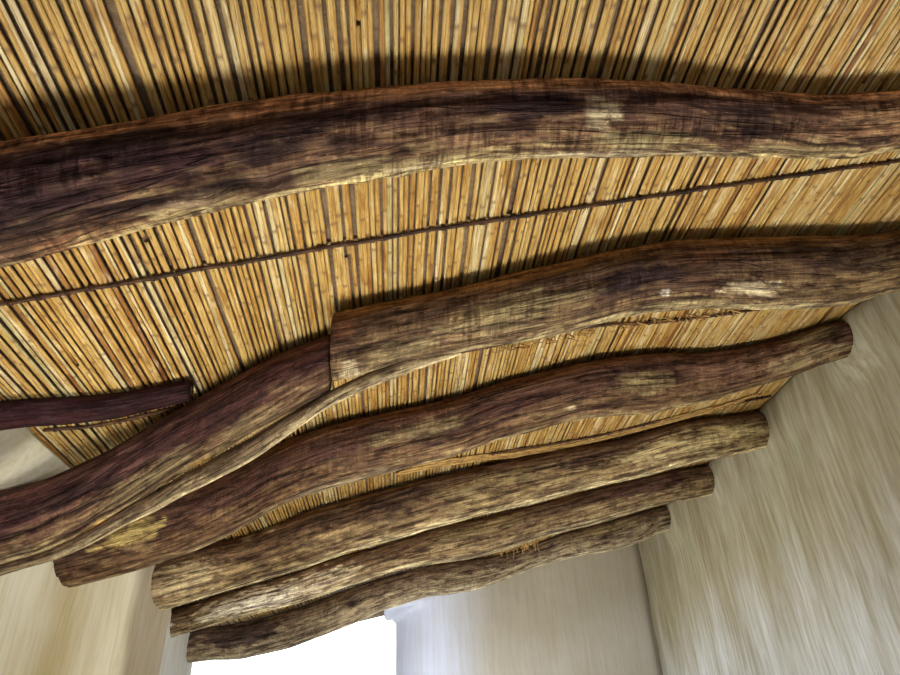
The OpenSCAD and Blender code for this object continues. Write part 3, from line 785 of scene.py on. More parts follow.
PATCHES["rafter_2_upper"] = [
    (0.45, 222, 0.30, 40, (0.095, 0.055, 0.042), 0.6), (1.15, 225, 0.25, 40, (0.34, 0.25, 0.13), 0.5),
    (0.34, 209, 0.137, 24, SOOT, 0.9), (0.70, 243, 0.111, 17, PALE, 0.85), (1.02, 203, 0.189, 22, SOOT, 0.6),
    (-0.03, 220, 0.178, 33, OLIVE, 0.6), (0.13, 216, 0.103, 15, OLIVE, 0.5), (-0.42, 275, 0.030, 39, PALE, 0.8),
    (-0.29, 248, 0.101, 22, OLIVE, 0.7), (-0.43, 180, 0.030, 26, RUST, 0.7), (0.52, 185, 0.125, 14, RUST, 0.5),
    (0.42, 244, 0.018, 8, CHALK, 1.0)]
PATCHES["rafter_2_lower"] = [
    (-1.00, 247, 0.175, 28, OLIVE, 0.5), (-0.70, 256, 0.102, 27, OLIVE, 0.4), (-1.25, 197, 0.143, 15, SOOT, 0.6),
    (-1.36, 284, 0.130, 38, (0.58, 0.49, 0.29), 0.75), (-0.86, 286, 0.030, 14, GOLD, 0.9), (-1.17, 284, 0.034, 12, GOLD, 0.85)]
PATCHES["rafter_3"] = [
    (-1.20, 200, 0.130, 21, (0.62, 0.50, 0.20), 0.95), (-0.80, 183, 0.227, 50, PLUM, 0.5), (-0.52, 194, 0.126, 28, PLUM, 0.5),
    (-0.22, 195, 0.197, 19, OLIVE, 0.5), (0.56, 204, 0.138, 27, OLIVE, 0.7), (1.29, 163, 0.104, 43, OLIVE, 0.6),
    (0.12, 193, 0.198, 20, PLUM, 0.5), (0.91, 152, 0.179, 36, (0.15, 0.08, 0.06), 0.6), (-0.46, 285, 0.197, 40, GREY, 0.6),
    (1.05, 195, 0.35, 40, (0.22, 0.13, 0.085), 0.6), (1.25, 225, 0.18, 30, (0.42, 0.35, 0.20), 0.6),
    (0.29, 237, 0.020, 7, PALE, 0.9)]
PATCHES["rafter_4"] = [
    (-1.20, 205, 0.180, 44, (0.50, 0.42, 0.26), 0.72), (-0.85, 115, 0.043, 40, PALE, 0.9), (-0.95, 133, 0.034, 17, PALE, 0.8),
    (1.26, 193, 0.187, 33, OLIVE, 0.6), (0.14, 184, 0.345, 23, OLIVE, 0.5), (-0.28, 174, 0.163, 23, SOOT, 0.5),
    (-0.62, 168, 0.160, 23, SOOT, 0.4), (0.60, 189, 0.189, 21, SOOT, 0.4), (1.05, 200, 0.40, 36, (0.58, 0.50, 0.27), 0.7)]
PATCHES["rafter_5"] = [
    (-0.98, 200, 0.46, 60, (0.84, 0.79, 0.62), 0.80),
    (-1.07, 205, 0.362, 31, CHALK, 0.6), (-0.64, 207, 0.197, 29, PALE, 0.5), (1.02, 168, 0.327, 40, PLUM, 0.7),
    (0.14, 173, 0.315, 32, OLIVE, 0.5)]
PATCHES["rafter_6"] = [
    (-1.25, 174, 0.310, 49, SOOT, 0.8), (-0.70, 181, 0.231, 41, GREY, 0.5), (1.00, 156, 0.312, 40, OLIVE, 0.6)]
# splits along a log: x, angle, x, angle, depth, width
CRACKS = {k: [] for k in LOGS}
CRACKS["rafter_2_lower"] = [(-1.50, 215, -0.80, 246, 0.010, 0.0045), (-1.30, 205, -0.95, 216, 0.006, 0.003),
                            (-1.45, 262, -0.70, 270, 0.007, 0.0035)]
CRACKS["rafter_1"] = [(-1.20, 250, -0.55, 262, 0.007, 0.004), (-1.10, 276, -0.70, 284, 0.006, 0.003),
                      (0.10, 252, 0.75, 262, 0.005, 0.003)]
CRACKS["rafter_2_upper"] = [(-0.45, 226, 0.10, 240, 0.006, 0.003), (0.55, 226, 1.05, 250, 0.006, 0.003)]
CRACKS["rafter_3"] = [(-1.10, 196, -0.45, 214, 0.006, 0.0035), (-0.2, 228, 0.55, 222, 0.006, 0.003)]
CRACKS["rafter_4"] = [(-1.25, 196, -0.55, 190, 0.006, 0.0035), (0.1, 176, 0.9, 186, 0.005, 0.003)]
CRACKS["rafter_5"] = [(-1.2, 184, -0.2, 178, 0.006, 0.003)]
CRACKS["rafter_6"] = [(-1.2, 196, -0.3, 186, 0.007, 0.004)]


def log_piece(name, rows, seed, nr, ns, amp=1.0):
    x0, x1 = rows[0][0], rows[-1][0]
    xs = np.linspace(x0, x1, nr)
    cy, cz, r = log_axis(rows, xs)
    s = np.concatenate([[0], np.cumsum(np.hypot(np.hypot(np.diff(xs), np.diff(cy)), np.diff(cz)))])
    phi = 2 * np.pi * (np.arange(ns) + 0.5) / ns
    S, P = np.meshgrid(s, phi, indexing="ij")
    X = np.repeat(xs[:, None], ns, 1)
    R = np.repeat(r[:, None], ns, 1)
    twist = 0.35 * np.sin(S * 0.9 + seed)
    c, q = np.cos(P + twist), np.sin(P + twist)
    f = lambda a, b, o=0.0: np.stack([(S * a + o).ravel(), (c * b + o).ravel(), (q * b - o).ravel()], 1)
    lump = fbm(f(3.2, 1.0, seed * 1.3), seed, 3).reshape(nr, ns)
    bump = fbm(f(9.0, 2.6, seed * 0.7), seed + 11, 3).reshape(nr, ns)
    ridge = fbm(f(3.0, 7.5, seed * 2.1), seed + 23, 3).reshape(nr, ns)
    fine = fbm(f(16.0, 14.0, seed), seed + 37, 3).reshape(nr, ns)
    groove = np.abs(fbm(f(1.9, 4.6, seed * 3.3), seed + 53, 2).reshape(nr, ns))
    cut = 1 - ss(0.0, 0.055, groove)
    dr = R * (0.055 * lump + 0.040 * bump) + amp * (0.0042 * ridge + 0.0024 * fine) - amp * 0.0046 * cut
    # knots: a raised ring round a dark hollow
    gen = np.random.default_rng(seed)
    knots = np.zeros_like(S)
    hollow = np.zeros_like(S)
    for _ in range(max(2, int((x1 - x0) * 3.2))):
        ks, kp = gen.uniform(0, s[-1]), gen.uniform(0, 2 * np.pi)
        size = gen.uniform(0.018, 0.042)
        da = np.angle(np.exp(1j * (P - kp))) * R
        d = np.hypot((S - ks) * 0.72, da) / size
        knots += gen.uniform(0.4, 1.0) * np.exp(-((d - 1.0) / 0.38) ** 2) * size * 0.16
        hollow = np.maximum(hollow, gen.uniform(0.3, 1.0) * np.exp(-(d / 0.55) ** 2))
        knots -= hollow * 0.0
    dr = dr + knots - hollow * 0.006
    # long splits
    gash = np.zeros_like(S)
    for ax, ap, bx, bp, depth, width in CRACKS[name]:
        t = np.clip((X - ax) / (bx - ax), 0, 1)
        inside = ss(0.0, 0.06, (X - ax) / (bx - ax)) * (1 - ss(0.94, 1.0, (X - ax) / (bx - ax)))
        line = np.radians(ap + (bp - ap) * t) + 0.05 * np.sin(X * 23 + seed) + 0.03 * np.sin(X * 61)
        d = np.abs(np.angle(np.exp(1j * (P - line)))) * R
        g = np.exp(-(d / width) ** 2) * inside
        dr = dr - depth * g
        gash = np.maximum(gash, g)
    rr = R + dr
    co = np.zeros((nr, ns, 3))
    co[:, :, 0] = X
    co[:, :, 1] = cy[:, None] + rr * np.cos(P)
    co[:, :, 2] = cz[:, None] + rr * np.sin(P) / LEAN
    lid = soffit(co[:, :, 0]) - 0.0008
    co[:, :, 2] = np.minimum(co[:, :, 2], lid)
    # rounded ends
    endk = np.array([0.90, 0.62])
    rings = [co]
    for side in (0, -1):
        centre = np.array([xs[side], cy[side], cz[side]])
        extra = []
        for k, dx in zip(endk, (0.004, 0.006)):
            ring = centre + (co[side] - centre) * k
            ring[:, 0] += dx * (-1 if side == 0 else 1)
            extra.append(ring)
        if side == 0:
            rings.insert(0, np.array(extra[::-1]))
        else:
            rings.append(np.array(extra))
    full = np.concatenate(rings)
    n = len(full)
    pts = full.reshape(-1, 3)
    centres = np.array([[xs[0] - 0.006, cy[0], cz[0]], [xs[-1] + 0.006, cy[-1], cz[-1]]])
    pts = np.concatenate([pts, centres])
    pts[:, 0] = np.clip(pts[:, 0], -2.09, 2.09)
    quads = tube_faces(n, ns)
    tris = np.concatenate([cap_faces(0, ns, n * ns, False), cap_faces((n - 1) * ns, ns, n * ns + 1, True)])
    # colours
    strip, dark, mid, pale, wear_and_light, soot_and_shade, turn = LOOK[name]
    mix = lambda a, b, w: a * (1 - w[..., None]) + np.asarray(b) * w[..., None]
    mott = fbm(f(5.0, 2.4, 4 + seed), seed + 71, 4).reshape(nr, ns)
    mott2 = fbm(f(15.0, 6.0, 9 + seed), seed + 83, 4).reshape(nr, ns)
    flake = fbm(f(26.0, 12.0, 2 + seed), seed + 97, 4, 0.6).reshape(nr, ns)
    across = fbm(f(34.0, 1.5, 6 + seed), seed + 91, 3, 0.6).reshape(nr, ns)
    # smoked bark and painted shade on the side by the canes, wood worn pale and painted as lit on the side towards the
    # opening
    deg = np.degrees(P) + turn + 26 * mott + 20 * mott2 + 16 * flake
    col = np.asarray(mid)[None, None, :] * (1 + 0.25 * mott[..., None])
    col = mix(col, dark, ss(150, 168, deg) * (1 - ss(202, 236, deg)) * 0.92)
    # the strip by the canes; on rafter_1 it is painted bright, reddish and wider, a painted highlight of the light off
    # the canes
    edge = 174 if name == "rafter_1" else 160
    col = mix(col, strip, (1 - ss(edge, edge + 12, np.degrees(P) + turn + 8 * mott2)) * 0.92)
    col = mix(col, pale, ss(258, 300, deg) * (1 - ss(322, 350, deg)) * wear_and_light)
    col = mix(col, pale, 0.38 * ss(0.20, 0.42, mott2 + 0.35 * flake) * wear_and_light * ss(205, 255, deg))
    # painted highlight: a brighter band straight along the underside
    col = mix(col, pale * np.array((1.25, 1.28, 1.30)), 0.8 * ss(278, 292, deg) * (1 - ss(318, 330, deg)) * wear_and_light)
    # soot on the side by the canes, darkened further there as painted shade
    col = mix(col, SOOT, soot_and_shade * ss(0.06, 0.32, -mott2 + 0.30 * flake) * ss(150, 172, deg))
    col = mix(col, SOOT, soot_and_shade * 0.75 * ss(0.10, 0.42, across) * (0.35 + 0.65 * ss(-0.3, 0.3, -mott)) * ss(150, 172, deg))
    for px, pa, hl, ha, colour, strength in PATCHES[name]:
        da = np.degrees(np.angle(np.exp(1j * (P - math.radians(pa)))))
        d = np.hypot((X - px) / hl, da / ha) + 0.45 * mott2 + 0.55 * flake
        col = mix(col, colour, strength * (1 - ss(0.66, 0.92, d)))
    # painted shade: the cut grooves, knot hollows and splits are darkened as the shade in them
    recess_shade = np.clip(0.55 * cut + 0.8 * hollow + 0.95 * gash, 0, 0.96)
    col = mix(col, BLACK, recess_shade)
    flow = np.stack([S, R * np.cos(P), R * np.sin(P)], -1)
    ends = lambda arr: np.concatenate([arr[:1], arr[:1], arr, arr[-1:], arr[-1:]]).reshape(-1, arr.shape[-1])
    col = np.concatenate([ends(col), [GREY * 0.7, GREY * 0.7]])
    flow = np.concatenate([ends(flow), [[0, 0, 0], [s[-1], 0, 0]]])
    adze = {"rafter_1": 0.85, "rafter_2_upper": 0.60, "rafter_3": 0.40, "rafter_near": 0.60}.get(name, 0.30)
    hewn = adze * np.clip(0.50 + 1.5 * mott, 0.12, 1.0)
    ob = build(name + "_log", pts, quads, tris,
               {"tone": col, "flow": flow, "adze": np.concatenate([ends(hewn[..., None]).ravel(), [0.2, 0.2]])})
    return place(ob, LOG, "old_log", name)


def all_logs():
    sizes = {"rafter_near": (150, 56), "rafter_1": (270, 88), "rafter_short": (70, 32), "rafter_2_upper": (200, 88),
             "rafter_2_lower": (130, 88), "rafter_2_splint": (150, 28), "rafter_3": (270, 88),
             "rafter_4": (250, 80), "rafter_5": (250, 72), "rafter_6": (250, 72)}
    for i, (name, rows) in enumerate(LOGS.items()):
        nr, ns = sizes[name]
        log_piece(name, rows, 11 + i * 7, nr, ns, 0.45 if name in ("rafter_short", "rafter_2_splint") else 1.0)


all_logs()


def lintel_poles():
    parts = []
    for i, y in enumerate((2.270, 2.380, 2.490)):
        n, ns = 60, 18
        x = np.linspace(-1.840, -1.840 + 2.230 * LEAN, n)
        gen = np.random.default_rng(300 + i)
        ph = np.full(n, 13.0 * i)
        yc = y + 0.012 * fbm(np.stack([x * 1.6, ph, ph], 1), 301 + i, 2)
        zc = soffit(x) - 0.034 / LEAN
        P = 2 * np.pi * np.arange(ns) / ns
        S, Q = np.meshgrid(x, P, indexing="ij")
        pts = np.stack([S.ravel() * 5, np.cos(Q).ravel() * 1.4 + 7 * i, np.sin(Q).ravel() * 1.4], 1)
        rr = 0.0285 * (1 + 0.08 * fbm(pts, 310 + i, 3).reshape(n, ns))
        co = np.stack([S, yc[:, None] + rr * np.cos(Q), zc[:, None] + rr * np.sin(Q)], -1).reshape(-1, 3)
        co = np.concatenate([co, [[x[0], yc[0], zc[0]], [x[-1], yc[-1], zc[-1]]]])
        tone = np.tile(PALE * 0.8, (len(co), 1))
        m = fbm(np.concatenate([pts, [[0, 0, 0], [0, 0, 0]]]) * 1.5, 320 + i, 3)[:, None]
        tone = tone * (1 - ss(-0.2, 0.5, m)) + GREY * ss(-0.2, 0.5, m)
        flow = np.concatenate([np.stack([S, 0.03 * np.cos(Q), 0.03 * np.sin(Q)], -1).reshape(-1, 3), [[0, 0, 0], [2, 0, 0]]])
        tris = np.concatenate([cap_faces(0, ns, n * ns, False), cap_faces((n - 1) * ns, ns, n * ns + 1, True)])
        parts.append((co, tube_faces(n, ns), tris, {"tone": tone, "flow": flow}))
    co, q, t, a = join_parts(parts)
    place(build("lintel_poles_rough", co, q, t, a), LOG, "old_log", "lintel_poles")


lintel_poles()

# ---------------------------------------------------------------- walls
# how far the plaster stands in front of the wall round each log: (log, which wall, depth)
LOW_LOGS = ["rafter_near", "rafter_1", "rafter_short", "rafter_2_lower", "rafter_2_splint", "rafter_3", "rafter_4",
            "rafter_5", "rafter_6"]
HIGH_LOGS = ["rafter_near", "rafter_1", "rafter_2_upper", "rafter_3", "rafter_4", "rafter_5", "rafter_6"]
COLLAR = {"rafter_3": 0.040, "rafter_4": 0.012, "rafter_5": 0.012, "rafter_6": 0.022}


def prism(poly, bottom=None, top=None):
    """Vertices and faces of a wall on the plan poly, up to the deck."""
    n = len(poly)
    low = [(x, y, 0.0 if bottom is None else bottom) for x, y in poly]
    high = [(x, y, (soffit(x) - 0.001) if top is None else top) for x, y in poly]
    faces = [tuple(range(n))[::-1], tuple(range(n, 2 * n))]
    faces += [(i, (i + 1) % n, n + (i + 1) % n, n + i) for i in range(n)]
    return low + high, faces


def section(poly, y0, y1):
    """The same for an outline in x and z, drawn out along y."""
    n = len(poly)
    verts = [(x, y0, z) for x, z in poly] + [(x, y1, z) for x, z in poly]
    faces = [tuple(range(n)), tuple(range(n, 2 * n))[::-1]]
    faces += [((i + 1) % n, i, n + i, n + (i + 1) % n) for i in range(n)]
    return verts, faces


def remeshed(name, solids, size):
    verts, faces = [], []
    for v, f in solids:
        faces += [tuple(k + len(verts) for k in face) for face in f]
        verts += v
    raw = bpy.data.meshes.new(name)
    raw.from_pydata(verts, [], faces)
    bm = bmesh.new()
    bm.from_mesh(raw)
    bmesh.ops.recalc_face_normals(bm, faces=bm.faces)
    bm.to_mesh(raw)
    bm.free()
    ob = bpy.data.objects.new(name, raw)
    scene.collection.objects.link(ob)
    mod = ob.modifiers.new("remesh", "REMESH")
    mod.mode = "VOXEL"
    mod.voxel_size = size
    mod.use_smooth_shade = True
    dg = bpy.context.evaluated_depsgraph_get()
    me = bpy.data.meshes.new_from_object(ob.evaluated_get(dg))
    ob.modifiers.clear()
    ob.data = me
    bpy.data.meshes.remove(raw)
    me.name = name
    return ob


def wall_piece(name, solids, size, material, slot, logs, high, tone_fn, seed, rough, *nodes):
    ob = remeshed(name, solids, size)
    co, no = coords(ob), normals(ob)
    flat = co[:, 2] < 0.012
    lump = fbm(co * 2.2 + seed, seed, 3)
    mid = fbm(co * 9.0 + seed, seed + 5, 3)
    trowel = fbm(co * np.array([22, 22, 4.0]) + seed, seed + 9, 3)
    d = rough * (0.010 * lump + 0.0034 * mid + 0.0014 * trowel)
    new = co + no * d[:, None]
    for log in logs:
        rows = LOGS[log]
        xx = np.clip(co[:, 0], rows[0][0], rows[-1][0])
        cy, cz, r = log_axis(rows, xx)
        rho = np.hypot(co[:, 1] - cy, (co[:, 2] - cz) * LEAN)
        # the plaster stands a little proud round the log
        reach = (co[:, 0] < rows[-1][0]) & (co[:, 0] > rows[0][0])
        face = ((no[:, 0] < -0.3) if high else (no[:, 0] > 0.3)) & reach
        depth = COLLAR.get(log, 0.008) if high else 0.006
        puff = depth * np.exp(-(np.maximum(rho - r, 0) / 0.075) ** 2)
        new[:, 0] += np.where(face, puff * (-1 if high else 1), 0.0)
    new[flat, 2] = 0.0
    new[:, 2] = np.clip(new[:, 2], 0.0, soffit(new[:, 0]) + 0.002)
    new[:, 1] = np.clip(new[:, 1], -2.612, 2.612)
    ob.data.vertices.foreach_set("co", new.astype(np.float32).ravel())
    ob.data.update()
    no = normals(ob)
    set_attrs(ob, {"tone": tone_fn(new, no)})
    ob.data.polygons.foreach_set("use_smooth", np.full(len(ob.data.polygons), True))
    return place(ob, material, slot, *nodes)


def blend(a, b, w):
    w = np.asarray(w)[:, None] if np.ndim(w) == 1 else w
    return a * (1 - w) + np.asarray(b) * w


def weathered(co):
    """Old lime wash out in the open: paler under the eaves, stained towards the foot."""
    n = fbm(co * np.array([2.2, 2.2, 1.2]), 61, 4)
    low = 1 - ss(0.10, 0.55, co[:, 2] + 0.25 * n)
    col = np.array((0.66, 0.625, 0.52)) * (1 + 0.10 * n)[:, None]
    col = blend(col, (0.47, 0.415, 0.31), 0.60 * low)
    return blend(col, (0.52, 0.44, 0.31), 0.5 * ss(0.22, 0.5, fbm(co * np.array([4, 4, 0.7]) + 3, 62, 3)))


def tone_low(co, no):
    n1 = fbm(co * 3.1, 5, 3)
    y, z = co[:, 1], co[:, 2]
    col = np.array((0.80, 0.77, 0.625)) * (1 + 0.04 * n1)[:, None]
    # yellowed runs down the face
    run = ss(0.05, 0.50, fbm(co * np.array([9, 9, 0.6]), 8, 3))
    col = blend(col, (0.66, 0.595, 0.37), 0.55 * run)
    soft = ss(0.2, 0.6, fbm(co * np.array([14, 14, 3.0]) + 5, 12, 3))
    col = blend(col, (0.60, 0.55, 0.42), 0.18 * soft)
    # painted shade: grey towards the near end; bare and duller plaster beyond the bend; painted light: bluish again by
    # the opening, as lit by the daylight
    col = blend(col, (0.24, 0.215, 0.165), 0.92 * (1 - ss(-0.86, -0.75, y + 0.02 * n1)))
    # the broad stain below the third log
    col = blend(col, (0.52, 0.43, 0.235), 0.85 * np.exp(-((y + 0.17) / 0.14) ** 2) * ss(-0.7, 0.2, n1 + 0.3 * run))
    edge = y + 0.05 * fbm(co * np.array([4, 4, 4.0]), 21, 2)
    col = blend(col, (0.385, 0.335, 0.258), ss(0.20, 0.28, edge) * (1 - ss(1.02, 1.22, edge)) * 0.92)
    col = blend(col, (0.44, 0.435, 0.415), ss(1.05, 1.25, edge))
    # the weathered outer face is even all along
    return blend(col, weathered(co), 0.90 * (1 - ss(-1.86, -1.74, co[:, 0])))


def tone_high(co, no):
    y, z = co[:, 1], co[:, 2]
    n1 = fbm(co * np.array([5, 5, 1.6]), 15, 4)
    n2 = fbm(co * np.array([9, 9, 0.9]) + 4, 16, 3)
    h = soffit(co[:, 0]) - z
    # painted shade: darker and browner up under the canes, paler and greyer lower down
    col = blend(np.tile((0.400, 0.365, 0.255), (len(co), 1)), (0.63, 0.65, 0.645), ss(0.55, 1.15, h + 0.22 * n1))
    # brown and greenish runs that start under the canes
    stain = ss(0.05, 0.45, n2) * (1 - ss(0.25, 0.85, h + 0.3 * n1))
    col = blend(col, (0.32, 0.275, 0.17), 0.50 * stain)
    green = ss(0.15, 0.5, fbm(co * np.array([6, 6, 1.2]) + 9, 18, 3)) * (1 - ss(0.4, 1.0, h))
    col = blend(col, (0.37, 0.375, 0.25), 0.5 * green)
    white = ss(0.12, 0.5, fbm(co * np.array([9, 9, 0.9]) + 2, 17, 3)) * ss(0.45, 1.0, h)
    col = blend(col, (0.70, 0.715, 0.72), 0.55 * white)
    col = blend(col, weathered(co), 0.90 * ss(1.66, 1.84, co[:, 0]))
    return col * (1 + 0.05 * n1)[:, None]


def tone_back(co, no):
    n1 = fbm(co * 2.3, 25, 3)
    h = soffit(co[:, 0]) - co[:, 2]
    # painted shade: darker up under the canes, paler lower down
    col = blend(np.tile((0.46, 0.425, 0.335), (len(co), 1)), (0.60, 0.58, 0.515), ss(0.30, 0.75, h))
    stain = ss(0.05, 0.4, fbm(co * np.array([3, 3, 3.0]) + 7, 27, 3))
    col = blend(col, (0.50, 0.44, 0.31), 0.30 * stain)
    # painted light: bluish white on the jamb by the opening, as lit by the daylight
    col = blend(col, (0.735, 0.80, 0.98), 1 - ss(-0.10, 0.42, co[:, 0] + 0.05 * n1))
    # painted shade: a dark line down the corner
    corner_shade = np.exp(-((co[:, 0] - 1.440) / 0.024) ** 2)
    col = blend(col, (0.15, 0.12, 0.08), 0.7 * corner_shade)
    col = blend(col, weathered(co), 0.90 * ss(2.50, 2.58, co[:, 1]))
    return col * (1 + 0.04 * n1)[:, None]


LOW_PLAN = [(-1.950, -2.600), (-1.540, -2.600), (-1.540, -1.000), (-1.510, -.650), (-1.430, -.200), (-1.345, .200),
            (-1.290, .550), (-1.500, 1.250), (-1.565, 1.980), (-1.700, 2.600), (-1.950, 2.600)]
HIGH_PLAN = [(1.460, -2.600), (1.960, -2.600), (1.960, 2.600), (1.460, 2.600)]
ARC = [(0.130 - 0.430 * math.sin(math.radians(a)), 2.600 - 0.430 * math.cos(math.radians(a))) for a in range(90, -1, -6)]
BACK_PLAN = [(1.470, 2.170), (1.470, 2.600)] + ARC
packing = section([(-1.660, soffit(-1.660)), (-1.330, soffit(-1.330) - 0.001), (-1.560, soffit(-1.330) - 0.250),
                   (-1.660, 0.700)], -2.600, 0.200)
wall_piece("low_wall_plaster", [prism(LOW_PLAN), packing], 0.025, WALL_LOW, "limewash_low", LOW_LOGS, False,
           tone_low, 3, 1.0, "low_wall_near", "low_wall_far")
wall_piece("high_wall_plaster", [prism(HIGH_PLAN)], 0.028, WALL_HIGH, "limewash_high", HIGH_LOGS, True,
           tone_high, 4, 1.0, "high_wall_near", "high_wall_far")
# the plaster of the jamb runs up over the ends of the poles
pole_ends = section([(-0.400, soffit(-0.400) - 0.001), (-0.050, soffit(-0.050) - 0.001), (-0.050, 1.230),
                     (-0.370, 1.168)], 2.215, 2.600)
wall_piece("back_wall_plaster", [prism(BACK_PLAN), pole_ends], 0.025, WALL_BACK, "limewash_back", [], False, tone_back,
           6, 0.7, "back_wall")


# ---------------------------------------------------------------- earth bed and tiles
def slab(x0, x1, y0, y1, t0, t1, step, seed, open_x0, open_x1):
    """A sloping bed with a rough rim: co, quads."""
    nx, ny = int(round((x1 - x0) / step)) + 1, int(round((y1 - y0) / step)) + 1
    gx, gy = np.meshgrid(np.linspace(x0, x1, nx), np.linspace(y0, y1, ny), indexing="ij")
    layers = []
    for k, t in enumerate(np.linspace(t0, t1, 4)):
        layers.append(np.stack([gx, gy, soffit(gx) + t / LEAN], -1))
    idx = np.arange(nx * ny).reshape(nx, ny)
    top, bot = layers[-1], layers[0]
    co = [l.reshape(-1, 3) for l in layers]
    n = nx * ny
    co = np.concatenate(co)
    q = []
    a, b, c, d = idx[:-1, :-1].ravel(), idx[1:, :-1].ravel(), idx[1:, 1:].ravel(), idx[:-1, 1:].ravel()
    q.append(np.stack([a, d, c, b], 1))
    q.append(np.stack([a, b, c, d], 1) + 3 * n)
    for line, flip in ((idx[:, 0], False), (idx[:, -1], True), (idx[0, :], True), (idx[-1, :], False)):
        for k in range(3):
            f = np.stack([line[:-1] + k * n, line[1:] + k * n, line[1:] + (k + 1) * n, line[:-1] + (k + 1) * n], 1)
            q.append(f[:, ::-1] if flip else f)
    quads = np.concatenate(q)
    used = np.unique(quads)
    remap = -np.ones(len(co), int)
    remap[used] = np.arange(len(used))
    co, quads = co[used], remap[quads]
    nz = fbm(co * 9.0 + seed, seed, 3)
    edge = np.minimum(co[:, 1] - y0, y1 - co[:, 1])
    push = ss(0.0, 0.03, 0.03 - edge)
    co[:, 1] += np.where(co[:, 1] < 0, 1, -1) * push * (0.010 + 0.012 * nz)
    if open_x0:
        co[:, 0] += ss(0.0, 0.03, 0.03 - (co[:, 0] - x0)) * (0.010 + 0.012 * nz)
    if open_x1:
        co[:, 0] -= ss(0.0, 0.03, 0.03 - (x1 - co[:, 0])) * (0.010 + 0.012 * nz)
    return co, quads


def earth_beds():
    for name, a, b, seed in (("earth_bed_low", -2.070, 0.0, 51), ("earth_bed_high", 0.0, 2.070, 52)):
        co, q = slab(a, b, -2.680, 2.680, 0.0165, 0.076, 0.045, seed, a < 0, b > 0)
        gen = np.random.default_rng(seed)
        parts = [(co, q, None, {})]
        for _ in range(150):
            end = gen.random() < 0.6
            x = gen.uniform(a, b)
            y = gen.choice([-2.665, 2.665])
            if not end:
                x = a + 0.01 if a < 0 else b - 0.01
                y = gen.uniform(-2.6, 2.6)
            z = soffit(x) + gen.uniform(0.022, 0.070) / LEAN
            v = gen.normal(0, 1, 3)
            v /= np.linalg.norm(v)
            ln = gen.uniform(0.012, 0.03)
            path = np.array([[x, y, z], [x, y, z] + v * ln * 0.5, [x, y, z] + v * ln])
            path[:, 0] = np.clip(path[:, 0], -2.085, 2.085)
            path[:, 1] = np.clip(path[:, 1], -2.69, 2.69)
            c, qq, t, _a = tube(path, 0.0009, 3)
            parts.append((c, qq, t, {}))
        co, q, t, _ = join_parts(parts)
        place(build(name + "_rammed", co, q, t), EARTH, "earth", name)


earth_beds()


def barrel(length, r0, r1, thick, sweep, n_len=3, n_arc=8):
    """An open half-round tile along +x: outer and inner faces and rims. r0 is the radius at x = 0."""
    u = np.linspace(0, 1, n_len)
    a = np.linspace(-sweep, sweep, n_arc + 1)
    U, A = np.meshgrid(u, a, indexing="ij")
    r = r0 + (r1 - r0) * U
    outer = np.stack([U * length, r * np.sin(A), r * np.cos(A)], -1).reshape(-1, 3)
    ri = r - thick
    inner = np.stack([U * length, ri * np.sin(A), ri * np.cos(A)], -1).reshape(-1, 3)
    n = len(outer)
    idx = np.arange(n).reshape(n_len, n_arc + 1)
    a_, b_, c_, d_ = idx[:-1, :-1].ravel(), idx[1:, :-1].ravel(), idx[1:, 1:].ravel(), idx[:-1, 1:].ravel()
    q = [np.stack([a_, b_, c_, d_], 1), np.stack([a_, d_, c_, b_], 1) + n]
    for line, flip in ((idx[0, :], False), (idx[-1, :], True), (idx[:, 0], True), (idx[:, -1], False)):
        f = np.stack([line[:-1], line[1:], line[1:] + n, line[:-1] + n], 1)
        q.append(f[:, ::-1] if flip else f)
    return np.concatenate([outer, inner]), np.concatenate(q)


